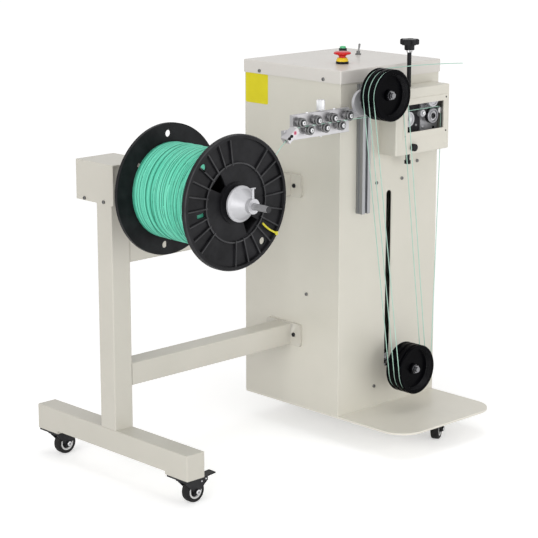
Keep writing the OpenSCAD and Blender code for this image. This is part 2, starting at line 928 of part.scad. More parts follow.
// Profile of a centring cone: a nose in the bore, a rim, a bell and a collar
function cone_profile(r_in, seat) =
    let (nose_r = seat - 8, rim = cone_nose + cone_rim_out, bell = rim + cone_rim_t,
         collar = bell + cone_collar_y, tip = collar + collar_len)
    [[r_in, 0], [nose_r, 0], [seat, cone_nose], [cone_rim_r, rim], [cone_rim_r, bell],
     [cone_rim_r - 5, bell + 4], [cone_collar_r + 2, collar - 2], [cone_collar_r, collar],
     [cone_collar_r, tip], [r_in, tip]];

module centring_cones() {
    seat = spool_bore / 2 - face_gap;
    bore_r = shaft_d / 2 + run_gap;
    lever_y = spool_front - cone_rim_out - cone_rim_t - cone_collar_y - collar_len / 2;
    lever_top = 39;
    color(aluminium) {
        difference() {
            union() {
                turned_along_y(spool_x, spool_front + 2 + cone_nose, spool_z, cone_profile(bore_r, seat));
                translate([spool_x, lever_y, spool_z + cone_collar_r - 2])
                    cylinder(d = 5, h = lever_top - cone_collar_r);
                translate([spool_x, lever_y, spool_z + lever_top - 3])
                    rotate([0, 90, 0])
                        cylinder(d = 3, h = 13, center = true);
            }
            rod_along_y(spool_x, spool_z, lever_y - collar_len, lever_y + collar_len, 2 * bore_r);
        }
        translate([0, 2 * (spool_front + spool_back) / 2, 0])
            mirror([0, 1, 0])
                turned_along_y(spool_x, spool_front + 2 + cone_nose, spool_z, cone_profile(bore_r, seat));
    }
}

// Pulleys and the store of wire between them

function groove_profile(mid) =
    [[pulley_d / 2, mid - groove_mouth / 2], [groove_r, mid - groove_floor / 2],
     [groove_r, mid + groove_floor / 2], [pulley_d / 2, mid + groove_mouth / 2]];

module loop_pulley(centre) {
    r = pulley_d / 2;
    rim_r = r - 10;
    hub_r = pulley_shaft_d / 2 + 7;
    bore_r = pulley_shaft_d / 2 + run_gap;
    chamfer = 2;
    floor_h = pulley_w - pulley_recess;
    grooves = [for (i = [-1:1]) each groove_profile(pulley_w / 2 + i * groove_pitch)];
    color(black)
        turned_along_y(centre[0], pulley_back, centre[1],
            concat([[bore_r, 0], [r - chamfer, 0], [r, chamfer]], grooves,
                   [[r, pulley_w - chamfer], [r - chamfer, pulley_w], [rim_r, pulley_w],
                    [rim_r - 3, floor_h], [hub_r, floor_h], [hub_r, floor_h + 4], [bore_r, floor_h + 4]]));
}

// Shaft end that keeps a pulley on: a washer, a nut and the bare end
module shaft_nose(centre) {
    seat = pulley_front + pulley_recess - 4 - face_gap;
    rod_along_y(centre[0], centre[1], seat - 2, seat, pulley_shaft_d + 8);
    translate([centre[0], seat - 2, centre[1]])
        rotate([90, 0, 0])
            cylinder(d = pulley_shaft_d + 7, h = 5, $fn = 6);
    rod_along_y(centre[0], centre[1], seat - 11, pulley_back, pulley_shaft_d);
}

module upper_pulley() {
    loop_pulley(upper);
}

module lower_pulley() {
    loop_pulley(lower);
}

module pulley_shaft() {
    color(steel) {
        rod_along_y(upper[0], upper[1], pulley_back, -rail_d, pulley_shaft_d);
        rod_along_y(upper[0], upper[1], pulley_back + face_gap, pulley_back + shaft_collar,
                    pulley_shaft_d + 6);
        shaft_nose(upper);
    }
}

// Carriage on the guide rods, with the shaft that comes out through the slot
module dancer_carriage() {
    front = sheet_t + loose_gap + 1;
    color(steel) {
        difference() {
            translate([slot_x - carriage[0] / 2, front, rest_z - carriage[2] / 2])
                cube(carriage);
            for (side = [-1, 1])
                translate([slot_x + side * guide_half, guide_rod_y, rest_z - carriage[2]])
                    cylinder(d = guide_rod_d + 2 * run_gap, h = 2 * carriage[2]);
        }
        rod_along_y(lower[0], lower[1], pulley_back, front, pulley_shaft_d);
        rod_along_y(lower[0], lower[1], pulley_back + face_gap, pulley_back + shaft_collar,
                    pulley_shaft_d + 6);
        shaft_nose(lower);
    }
}

// Wire that the machine holds: from the spool through the straightener and the feed unit, and
// the three turns over the upper pulley
inlet_mid = [-str_left - 18, line_z - 15];
supply_dir = [cos(supply_slope), sin(supply_slope)];
supply_knee = inlet_mid + supply_dir * (line_z - inlet_mid[1]) / supply_dir[1];
spool_r = wind_d / 2 + wire_gap + wire_d / 2;
to_spool = [inlet_mid[0] - supply_dir[0] * inlet[0],
            inlet_mid[1] - supply_dir[1] * inlet[0]] - [spool_x, spool_z];
leave_angle = atan2(to_spool[1], to_spool[0]) - acos(spool_r / norm(to_spool));
leave = [spool_x + spool_r * cos(leave_angle), spool_z + spool_r * sin(leave_angle)];
supply_y = (spool_front + spool_back) / 2 - 14;
turn_r = post_r + wire_gap + wire_d / 2;
supply_route = concat(
    [[leave[0], supply_y, leave[1]],
     [inlet_mid[0] - supply_dir[0] * inlet[0], -line_y, inlet_mid[1] - supply_dir[1] * inlet[0]],
     [supply_knee[0], -line_y, line_z]],
    [for (a = [90:-15:0]) [turn_pos[0] + turn_r * cos(a), -line_y, turn_pos[1] + turn_r * sin(a)]],
    [[outlet_x, -line_y, feed_z - 2]]);

module held_wire() {
    color(wire_green) {
        swept_tube(supply_route, wire_d, 8);
        wire_arc(upper, groove_y[0], 90, left_turn - 90);
        for (y = [groove_y[1], groove_y[2]])
            wire_arc(upper, y, left_turn - 180, 180);
    }
}

// Stretches of wire between the pulleys, which shorten as the lower pulley rises
module loop_strands() {
    right_turn = left_turn - 180;
    color(wire_green) {
        for (y = groove_y)
            strand(on_pulley(upper, left_turn, y), on_pulley(lower, left_turn, y));
        for (i = [0, 1])
            strand(on_pulley(upper, right_turn, groove_y[i + 1]),
                   on_pulley(lower, right_turn, groove_y[i]));
        strand([outlet_x, -line_y, feed_z - 2], on_pulley(lower, right_turn, groove_y[2]));
    }
}

module lower_wrap() {
    color(wire_green)
        for (y = groove_y)
            wire_arc(lower, y, left_turn, 180);
}

module exit_wire() {
    color(wire_green)
        swept_tube(resampled(exit_route, exit_step), wire_d, 8);
}

// Straightener

// Aluminium extrusion with a groove in its front face
module profile_rail() {
    groove = 8;
    deep = 6;
    color(aluminium)
        difference() {
            translate([upper_x - rail_w / 2, -rail_d, rail_top - rail_len])
                cube([rail_w, rail_d, rail_len]);
            translate([upper_x - groove / 2, -rail_d - over, rail_top - rail_len - over])
                cube([groove, deep + over, rail_len - 60]);
            for (side = [-1, 1])
                translate([upper_x + side * rail_w / 2 - 2, -rail_d / 2 - 3, rail_top - rail_len - over])
                    cube([4, 6, rail_len + 2 * over]);
        }
}

// Plate with a tongue that the disc clamps to the rail, and the rollers' axles
module straightener_plate() {
    head_d = roller_axle + 3.5;
    tongue_h = 20;
    tongue_z = str_z + str_h - 6 - tongue_h;
    roller_back = -line_y + roller_w / 2;
    roller_front = -line_y - roller_w / 2;
    color(aluminium)
        difference() {
            union() {
                translate([-str_left, str_front, str_z])
                    cube([str_len, str_t, str_h]);
                translate([str_len - str_left - 40, -rail_d - tongue_t, tongue_z])
                    cube([upper_x - str_len + str_left + 40, tongue_t, tongue_h]);
                rod_along_y(disc_x, disc_z, -rail_d - tongue_t - disc_t, -rail_d - tongue_t, disc_d);
                rod_along_y(disc_x, disc_z, -rail_d - tongue_t - disc_t - 4,
                            -rail_d - tongue_t - disc_t, 10);
                for (p = rollers) {
                    rod_along_y(p[0], p[1], roller_back + face_gap, str_front, roller_axle + 4);
                    rod_along_y(p[0], p[1], roller_front - face_gap - 3, str_front, roller_axle);
                    rod_along_y(p[0], p[1], roller_front - face_gap - 3, roller_front - face_gap, head_d);
                }
            }
            translate([knob_x, -rail_d - str_t / 2, str_z + str_h - 14])
                cylinder(d = knob_stem + 2 * run_gap, h = 14 + over);
        }
}

module straightener_roller(i) {
    r = roller_d / 2;
    low = r - roller_groove;
    flat = wire_d + 0.6;
    color(steel)
        turned_along_y(rollers[i][0], -line_y + roller_w / 2, rollers[i][1],
            [[roller_axle / 2 + run_gap, 0], [r - 1, 0], [r, 1], [r, (roller_w - flat) / 2 - 2],
             [low, (roller_w - flat) / 2], [low, (roller_w + flat) / 2], [r, (roller_w + flat) / 2 + 2],
             [r, roller_w - 1], [r - 1, roller_w], [roller_axle / 2 + run_gap, roller_w]]);
}

module adjust_knob() {
    stand = 2;
    top = str_z + str_h;
    r = adjust_d / 2;
    color(aluminium)
        translate([knob_x, -rail_d - str_t / 2, top - 12])
            rotate_extrude()
                polygon([[0, 0], [knob_stem / 2, 0], [knob_stem / 2, 12 + stand], [r - 1, 12 + stand],
                         [r, 13 + stand], [r, knob_h + 11], [r - 1, knob_h + 12], [0, knob_h + 12]]);
}

// Sloping guide block in front of the rollers, with two pins that the wire runs between
module inlet_guide() {
    pin_d = 5;
    pin_rise = pin_d / 2 + wire_d / 2 + wire_gap;
    arm = [26, str_t, 20];
    color(aluminium) {
        translate([-str_left - arm[0], str_front, line_z - 26])
            cube(arm);
        translate([inlet_mid[0], str_front, inlet_mid[1]])
            rotate([0, -supply_slope, 0])
                difference() {
                    union() {
                        translate([-inlet[0] / 2, -inlet[1] - 4, -inlet[2] / 2])
                            cube([inlet[0], inlet[1] + 4, inlet[2]]);
                        for (along = [5, 13])
                            rod_along_y(-inlet[0] / 2 + along, pin_rise, -inlet[1] - 7,
                                        -inlet[1] - 3, pin_d);
                    }
                    translate([-inlet[0], -line_y - str_front, 0])
                        rotate([0, 90, 0])
                            cylinder(d = inlet_bore, h = 2 * inlet[0]);
                }
    }
}

// Feed unit

// Sheet box on the cabinet's front, with a framed window
module feed_box() {
    frame_w = 14;
    frame_t = 1.5;
    color(paint)
        difference() {
            union() {
                difference() {
                    translate([feed_x, -feed_d, feed_z])
                        cube([feed_w, feed_d, feed_h]);
                    translate([feed_x + sheet_t, -feed_d + sheet_t, feed_z + sheet_t])
                        cube([feed_w - 2 * sheet_t, feed_d, feed_h - 2 * sheet_t]);
                }
                translate([window_x - frame_w, -feed_d - frame_t, window_z - frame_w])
                    cube([window_w + 2 * frame_w, frame_t, window_h + 2 * frame_w]);
            }
            translate([window_x, -feed_d - frame_t - over, window_z])
                cube([window_w, sheet_t + frame_t + 2 * over, window_h]);
            translate([rod_x, -rod_y, feed_z - over])
                cylinder(d = rod_d + 2 * face_gap, h = feed_h + 2 * over);
            translate([feed_x - over, -line_y, line_z])
                rotate([0, 90, 0])
                    cylinder(d = 10, h = sheet_t + 2 * over);
            translate([outlet_x, -line_y, feed_z - over])
                cylinder(d = 8, h = sheet_t + 2 * over);
            rod_along_y(thumb_pos[0], thumb_pos[1], -feed_d - over, -feed_d + sheet_t + over,
                        feed_axle + 2 * run_gap);
        }
}

// Dark mounting plate on spacers, the wheels' axles, and the gear motor inside the cabinet
module feed_drive() {
    edge = 8;
    spacer_d = 10;
    motor_d = 60;
    motor_l = 90;
    wheel_back = -line_y + feed_wheel_w / 2;
    wheel_front = -line_y - feed_wheel_w / 2;
    low = feed_z + 14;
    color(dark) {
        difference() {
            translate([feed_x + edge, plate_front, low])
                cube([feed_w - 2 * edge, plate_t, feed_h - 28]);
            rod_along_y(drive_pos[0], drive_pos[1], plate_front - over, -plate_back + over,
                        feed_axle + 2 + 2 * loose_gap);
        }
        for (x = [feed_x + edge + 8, feed_x + feed_w - edge - 8])
            for (z = [low + 8, low + feed_h - 36])
                rod_along_y(x, z, -plate_back, 0, spacer_d);
    }
    color(steel) {
        for (p = [guide_pos, tension_pos]) {
            rod_along_y(p[0], p[1], wheel_back + face_gap, plate_front - face_gap, feed_axle + 4);
            rod_along_y(p[0], p[1], wheel_front - face_gap - 2, plate_front - face_gap, feed_axle);
            rod_along_y(p[0], p[1], wheel_front - face_gap - 2, wheel_front - face_gap, feed_axle + 3);
        }
        rod_along_y(turn_pos[0], turn_pos[1], wheel_front, plate_front - face_gap, 2 * post_r);
    }
    color(dark)
        difference() {
            rod_along_y(drive_pos[0], drive_pos[1], sheet_t, sheet_t + motor_l, motor_d);
            rod_along_y(drive_pos[0], drive_pos[1], 0, sheet_t + 20, feed_axle + 2 + 2 * run_gap);
        }
}

// Disc wheel with a lightened face, turned about Y
module feed_disc(pos, bore) {
    r = feed_wheel_d / 2;
    dish = 2;
    turned_along_y(pos[0], -line_y + feed_wheel_w / 2, pos[1],
        [[bore, 0], [r - 1, 0], [r, 1], [r, feed_wheel_w - 1], [r - 1, feed_wheel_w], [r - 4, feed_wheel_w],
         [r - 5, feed_wheel_w - dish], [bore + 6, feed_wheel_w - dish], [bore + 5, feed_wheel_w],
         [bore, feed_wheel_w]]);
}

module guide_wheel() {
    color(aluminium)
        feed_disc(guide_pos, feed_axle / 2 + run_gap);
}

module press_roller() {
    color(aluminium)
        feed_disc(press_pos, feed_axle / 2 + run_gap);
}

// Drive wheel on its own shaft, which runs back into the gear motor
module drive_wheel() {
    color(steel) {
        feed_disc(drive_pos, 1);
        rod_along_y(drive_pos[0], drive_pos[1], -line_y, sheet_t + 18, feed_axle + 2);
    }
}

module tension_roller() {
    r = tension_d / 2;
    color(aluminium)
        turned_along_y(tension_pos[0], -line_y + feed_wheel_w / 2, tension_pos[1],
            [[feed_axle / 2 + run_gap, 0], [r - 1, 0], [r, 1], [r, feed_wheel_w - 1], [r - 1, feed_wheel_w],
             [feed_axle / 2 + run_gap, feed_wheel_w]]);
}

// Sliding block that carries the press roller; the press screw runs through it
module press_block() {
    wheel_back = -line_y + feed_wheel_w / 2;
    wheel_front = -line_y - feed_wheel_w / 2;
    front = wheel_back + face_gap + 0.7;
    back = plate_front - face_gap;
    color(dark)
        difference() {
            union() {
                translate([rod_x - 11, front, block_z])
                    cube([press_pos[0] - rod_x + 22, back - front, block_h]);
                rod_along_y(press_pos[0], press_pos[1], wheel_back + face_gap, back, feed_axle + 4);
                rod_along_y(press_pos[0], press_pos[1], wheel_front - face_gap - 2, back, feed_axle);
                rod_along_y(press_pos[0], press_pos[1], wheel_front - face_gap - 2,
                            wheel_front - face_gap, feed_axle + 3);
            }
            translate([rod_x, -rod_y, block_z - over])
                cylinder(d = rod_d + 2 * run_gap, h = block_h + 2 * over);
        }
}

// Star knob: a hub under a disc with scallops that leave five lobes
module star_knob() {
    lobes = 5;
    scallop_d = star_d / 2;
    edge = 2;
    turned([0, 0, 0],
        [[0, 0], [star_hub_d / 2 - 1, 0], [star_hub_d / 2, 1], [star_hub_d / 2, star_hub_h],
         [0, star_hub_h]]);
    difference() {
        turned([0, 0, star_hub_h],
            [[0, 0], [star_d / 2 - edge, 0], [star_d / 2, edge], [star_d / 2, star_h - edge],
             [star_d / 2 - edge, star_h], [0, star_h]]);
        for (k = [0:lobes - 1])
            rotate([0, 0, 360 * k / lobes])
                translate([star_d / 2 + scallop_d / 5, 0, star_hub_h - over])
                    cylinder(d = scallop_d, h = star_h + 2 * over);
    }
}

module press_screw() {
    bush_h = 5;
    foot_h = 8;
    foot_r = rod_d / 2 + 2.5;
    color(black)
        translate([rod_x, -rod_y, 0]) {
            translate([0, 0, rod_low + foot_h])
                cylinder(d = rod_d, h = rod_top - rod_low - foot_h);
            turned([0, 0, rod_low],
                [[0, 0], [foot_r - 1, 0], [foot_r, 1], [foot_r, foot_h], [0, foot_h]]);
            translate([0, 0, rod_top - bush_h])
                cylinder(d = rod_d + 4, h = bush_h);
            translate([0, 0, rod_top])
                star_knob();
        }
}

module thumb_knob() {
    grip = 10;
    r = thumb_d / 2;
    seat = sheet_t + 6 + face_gap;
    tip = sheet_t + 6 + grip;
    color(black)
        turned_along_y(thumb_pos[0], -feed_d + sheet_t + 6, thumb_pos[1],
            [[0, 0], [feed_axle / 2, 0], [feed_axle / 2, seat], [r - 1, seat],
             [r, seat + 1], [r, tip - 1], [r - 1, tip], [0, tip]]);
}

// Controls on the lid

// Black ring and yellow collar that guide the emergency stop's stem
module estop_base() {
    bore = stop_stem_d / 2 + run_gap;
    ring_r = stop_ring_d / 2;
    color(yellow)
        turned([stop_pos[0], stop_pos[1], lid_top],
            [[bore, 0], [ring_r, 0], [ring_r, stop_ring_h], [ring_r - 1, stop_ring_h],
             [ring_r - 4, stop_ring_h + stop_collar_h], [bore, stop_ring_h + stop_collar_h]]);
}

module estop_head() {
    r = stop_d / 2;
    top = stop_ring_h + stop_collar_h + stop_travel + face_gap;
    color(red)
        turned([stop_pos[0], stop_pos[1], lid_top],
            [[0, stop_travel + face_gap], [stop_stem_d / 2, stop_travel + face_gap], [stop_stem_d / 2, top],
             [stop_stem_d / 2 + 1.5, top], [stop_stem_d / 2 + 3, top + 2], [r - 1.5, top + 3], [r, top + 5],
             [r - 1, top + 7.5], [r - 4, top + 9], [r / 2, top + 10], [0, top + 10]]);
}

// Bezel of the start button and threaded bush of the toggle switch
module switch_bushes() {
    bore = button_d / 2 + run_gap;
    color(black)
        turned([button_pos[0], button_pos[1], lid_top],
            [[bore, 0], [bezel_d / 2, 0], [bezel_d / 2, bezel_h - 1], [bezel_d / 2 - 1, bezel_h],
             [bore, bezel_h]]);
    color(steel)
        translate([toggle_pos[0], toggle_pos[1], lid_top])
            difference() {
                union() {
                    cylinder(d = toggle_d + 3, h = 3, $fn = 6);
                    cylinder(d = toggle_d - 3, h = toggle_h);
                }
                translate([0, 0, 4])
                    cylinder(d1 = lever_d + 0.4, d2 = toggle_d - 4, h = toggle_h);
            }
}

module start_button() {
    r = button_d / 2;
    foot = button_travel + face_gap;
    color(wire_green)
        turned([button_pos[0], button_pos[1], lid_top],
            [[0, foot], [r, foot], [r, bezel_h + 3], [r - 1.5, bezel_h + 4.5], [0, bezel_h + 5]]);
}

module toggle_lever() {
    pivot = 4.5;
    reach = 22;
    tip = 5.5;
    color(steel)
        translate([toggle_pos[0], toggle_pos[1], lid_top + pivot])
            rotate([0, toggle_tilt, 0])
                rotate_extrude()
                    polygon([[0, 0], [lever_d / 2 - 0.6, 0], [lever_d / 2, reach / 2], [tip / 2, reach - 3],
                             [tip / 2 - 0.8, reach - 0.6], [0, reach]]);
}

// Brings the origin under the middle of the machine, on the floor
module placed() {
    translate([-x_mid, -y_mid, 0])
        children();
}

placed() base_plate();
placed() cabinet_shell();
placed() rear_panel();
placed() top_cover();
placed() fasteners();
placed() dancer_guide();
placed() feed_drive();
placed() feed_box();
placed() profile_rail();
placed() pulley_shaft();
placed() straightener_plate();
placed() inlet_guide();
placed() estop_base();
placed() switch_bushes();
placed() post();
placed() foot_beam();
placed() upper_beam();
placed() lower_beam();
placed() head_box();
placed() spool_bearing();
placed() caster_plates();
placed() held_wire();
placed() loop_strands();
placed() exit_wire();
placed() caster_fork(0);  // caster_fork_1
placed() caster_fork(1);  // caster_fork_2
placed() caster_fork(2);  // caster_fork_3
placed() caster_fork(3);  // caster_fork_4
placed() caster_wheel(0);  // caster_wheel_1
placed() caster_wheel(1);  // caster_wheel_2
placed() caster_wheel(2);  // caster_wheel_3
placed() caster_wheel(3);  // caster_wheel_4
placed() brake_pedal(0);  // brake_pedal_1
placed() brake_pedal(1);  // brake_pedal_2
placed() dancer_carriage();
placed() lower_pulley();
placed() lower_wrap();
placed() upper_pulley();
placed() straightener_roller(0);  // straightener_roller_1
placed() straightener_roller(1);  // straightener_roller_2
placed() straightener_roller(2);  // straightener_roller_3
placed() straightener_roller(3);  // straightener_roller_4
placed() straightener_roller(4);  // straightener_roller_5
placed() straightener_roller(5);  // straightener_roller_6
placed() straightener_roller(6);  // straightener_roller_7
placed() adjust_knob();
placed() drive_wheel();
placed() guide_wheel();
placed() tension_roller();
placed() press_roller();
placed() press_block();
placed() press_screw();
placed() thumb_knob();
placed() spool();
placed() wire_winding();
placed() spool_shaft();
placed() centring_cones();
placed() estop_head();
placed() start_button();
placed() toggle_lever();
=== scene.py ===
"""Finishes and fine forms of a cable prefeeding machine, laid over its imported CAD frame.

Lengths are millimetres in the machine's own datum (X from the cabinet's left side, Y from its front,
Z from the floor). The function point() brings them into the shared frame in metres.
"""

import json
import logging
import math
import random
from dataclasses import dataclass, replace
from enum import Enum
from typing import Callable, Iterable, Sequence

import bmesh
import bpy
from mathutils import Matrix, Vector

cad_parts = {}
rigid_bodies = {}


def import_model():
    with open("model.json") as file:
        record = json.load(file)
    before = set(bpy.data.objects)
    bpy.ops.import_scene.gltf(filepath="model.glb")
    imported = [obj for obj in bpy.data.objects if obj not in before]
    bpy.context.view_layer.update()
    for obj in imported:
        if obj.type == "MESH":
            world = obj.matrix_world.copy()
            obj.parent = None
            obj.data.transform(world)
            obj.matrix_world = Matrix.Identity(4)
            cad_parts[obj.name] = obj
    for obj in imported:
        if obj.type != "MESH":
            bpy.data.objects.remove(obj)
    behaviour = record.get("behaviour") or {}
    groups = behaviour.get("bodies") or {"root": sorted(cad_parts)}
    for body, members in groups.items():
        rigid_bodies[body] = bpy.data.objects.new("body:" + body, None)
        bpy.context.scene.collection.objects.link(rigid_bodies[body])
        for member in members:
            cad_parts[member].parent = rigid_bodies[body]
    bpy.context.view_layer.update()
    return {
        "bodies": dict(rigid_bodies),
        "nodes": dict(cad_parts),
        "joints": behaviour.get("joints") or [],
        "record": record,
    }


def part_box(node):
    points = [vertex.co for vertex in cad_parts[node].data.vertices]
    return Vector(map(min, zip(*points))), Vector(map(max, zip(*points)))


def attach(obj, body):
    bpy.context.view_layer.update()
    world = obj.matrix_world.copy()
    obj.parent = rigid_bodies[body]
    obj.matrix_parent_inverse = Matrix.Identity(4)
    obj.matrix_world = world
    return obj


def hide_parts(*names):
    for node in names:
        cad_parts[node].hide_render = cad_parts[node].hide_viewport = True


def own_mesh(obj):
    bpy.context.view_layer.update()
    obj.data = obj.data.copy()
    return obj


LOG = logging.getLogger("prefeeder")
MM = 0.001
DATUM = Vector((-144.65, 76.0, 0.0))
FULL_TURN = 2 * math.pi
LEFT, RIGHT = (-1, 0, 0), (1, 0, 0)
FRONT, BACK = (0, -1, 0), (0, 1, 0)
DOWN, UP = (0, 0, -1), (0, 0, 1)

Spot = tuple[float, float]
Triple = tuple[float, float, float]
Profile = Sequence[Spot]
Edges = list[bmesh.types.BMEdge]
EdgeTest = Callable[[bmesh.types.BMEdge], bool]
Socket = bpy.types.NodeSocket

UPPER_PULLEY: Spot = (66.0, 818.0)
LOWER_PULLEY: Spot = (164.0, 168.0)
DUST_COLOR = (0.55, 0.53, 0.49, 1.0)
COAT_ROUGHNESS = 0.12


def point(x: float, y: float, z: float) -> Vector:
    """A place in the machine's datum, in millimetres, as a point of the frame in metres."""
    return (Vector((x, y, z)) - DATUM) * MM


def facing(seat: Vector, axis: Sequence[float], roll: float = 0.0) -> Matrix:
    """Matrix that stands a shape made along +Z on a seat, along an axis and rolled about it."""
    turn = Vector(axis).to_track_quat("Z", "Y").to_matrix().to_4x4()
    return Matrix.Translation(seat) @ turn @ Matrix.Rotation(roll, 4, "Z")


def placed(name: str, data: bpy.types.ID) -> bpy.types.Object:
    """A new object of some data, linked into the scene.

    Args:
        name: The object's name.
        data: Its mesh, curve, lamp or camera.

    Returns:
        The object.
    """
    obj = bpy.data.objects.new(name, data)
    bpy.context.collection.objects.link(obj)
    return obj


# Finishes


class Texture(Enum):
    """Kinds of surface structure a finish can have."""

    GRAIN = "surface_grain"
    TURNED = "turning_rings"
    DRAWN = "drawn_lines"


class Graph:
    """Adds nodes to one node tree and joins them."""

    def __init__(self, tree: bpy.types.NodeTree) -> None:
        """Keeps the tree that the nodes go into."""
        self.tree = tree

    def fill(self, target: Socket, value: object) -> None:
        """Joins an output to an input, or gives the input a plain value.

        Args:
            target: The input.
            value: An output to join, or a plain value.
        """
        if isinstance(value, Socket):
            self.tree.links.new(value, target)
        else:
            target.default_value = value

    def add(self, kind: str, values: dict | None = None, **settings: object) -> bpy.types.Node:
        """Adds a node.

        Args:
            kind: Type name of the node.
            values: What its inputs take, by name or number: plain values or outputs of other nodes.
            settings: Properties of the node itself.

        Returns:
            The new node.
        """
        node = self.tree.nodes.new(kind)
        for key, value in settings.items():
            setattr(node, key, value)
        for key, value in (values or {}).items():
            self.fill(node.inputs[key], value)
        return node

    def math(self, operation: str, *terms: object) -> Socket:
        """The output of a Math node on some numbers or outputs."""
        return self.add("ShaderNodeMath", dict(enumerate(terms)), operation=operation).outputs[0]

    def ramp(self, value: Socket, low: float, high: float, start: float = 0.0, end: float = 1.0) -> Socket:
        """The output of a Map Range node, which brings low to start and high to end."""
        limits = {"From Min": low, "From Max": high, "To Min": start, "To Max": end}
        return self.add("ShaderNodeMapRange", {"Value": value, **limits}).outputs[0]

    def mix(self, first: object, second: object, share: Socket) -> Socket:
        """The output of a Mix node on two colours."""
        values = {"A": first, "B": second, "Factor": share}
        return self.add("ShaderNodeMix", values, data_type="RGBA").outputs["Result"]


class Effects:
    """Shader node groups that more than one finish uses, each built once."""

    @staticmethod
    def begin(name: str, inputs: Sequence[str], outputs: Sequence[str]) -> tuple[Graph, dict, dict]:
        """Starts a group.

        Args:
            name: Name of the group.
            inputs: Names of its inputs, which are numbers apart from Vector.
            outputs: Names of its outputs, which are numbers.

        Returns:
            The group's graph, its inputs as sockets to read, and its outputs as sockets to fill.
        """
        tree = bpy.data.node_groups.new(name, "ShaderNodeTree")
        for way, labels in (("INPUT", inputs), ("OUTPUT", outputs)):
            for label in labels:
                kind = "NodeSocketVector" if label == "Vector" else "NodeSocketFloat"
                tree.interface.new_socket(name=label, in_out=way, socket_type=kind)
        graph = Graph(tree)
        return graph, graph.add("NodeGroupInput").outputs, graph.add("NodeGroupOutput").inputs

    @classmethod
    def texture(cls, kind: Texture) -> bpy.types.NodeTree:
        """The group that draws one kind of structure.

        Args:
            kind: Which structure.

        Returns:
            A group that puts out a fine height, a broad cloud and sparse specks, all from 0 to 1.
        """
        made = bpy.data.node_groups.get(kind.value)
        if made:
            return made
        graph, given, wanted = cls.begin(kind.value, ("Vector", "Fine", "Coarse"),
                                         ("Height", "Cloud", "Speck"))
        place, coarse = given["Vector"], given["Coarse"]
        fine = graph.add("ShaderNodeTexNoise", {"Detail": 3.0, "Roughness": 0.6, "Scale": given["Fine"]})
        if kind is Texture.TURNED:
            x, y, z = graph.add("ShaderNodeSeparateXYZ", {0: place}).outputs
            square = graph.math("ADD", graph.math("POWER", x, 2.0), graph.math("POWER", y, 2.0))
            fine.noise_dimensions = "1D"
            across = graph.math("ADD", graph.math("SQRT", square), graph.math("MULTIPLY", z, 0.83))
            graph.fill(fine.inputs["W"], across)
        else:
            graph.fill(fine.inputs["Vector"], place)
        broad = graph.add("ShaderNodeTexNoise", {"Detail": 4.0, "Roughness": 0.55, "Vector": place,
                                                 "Scale": coarse})
        speck = graph.add("ShaderNodeTexNoise", {"Detail": 1.0, "Vector": place,
                                                 "Scale": graph.math("MULTIPLY", coarse, 7.0)})
        graph.fill(wanted["Height"], fine.outputs[0])
        graph.fill(wanted["Cloud"], broad.outputs[0])
        graph.fill(wanted["Speck"], graph.ramp(speck.outputs[0], 0.64, 0.74))
        return graph.tree

    @classmethod
    def dust(cls) -> bpy.types.NodeTree:
        """The group that says where dust settles: on faces that look up, in uneven patches.

        Returns:
            The group, made the first time it is asked for.
        """
        made = bpy.data.node_groups.get("settled_dust")
        if made:
            return made
        graph, given, wanted = cls.begin("settled_dust", ("Vector", "Amount"), ("Mask",))
        normal = graph.add("ShaderNodeNewGeometry").outputs["Normal"]
        level = graph.ramp(graph.add("ShaderNodeSeparateXYZ", {0: normal}).outputs[2], 0.2, 0.95)
        patch = graph.add("ShaderNodeTexNoise", {"Scale": 55.0, "Detail": 5.0, "Roughness": 0.7,
                                                 "Vector": given["Vector"]})
        reach = graph.math("MULTIPLY", level, graph.ramp(patch.outputs[0], 0.35, 0.75))
        graph.fill(wanted["Mask"], graph.math("MULTIPLY", reach, given["Amount"]))
        return graph.tree


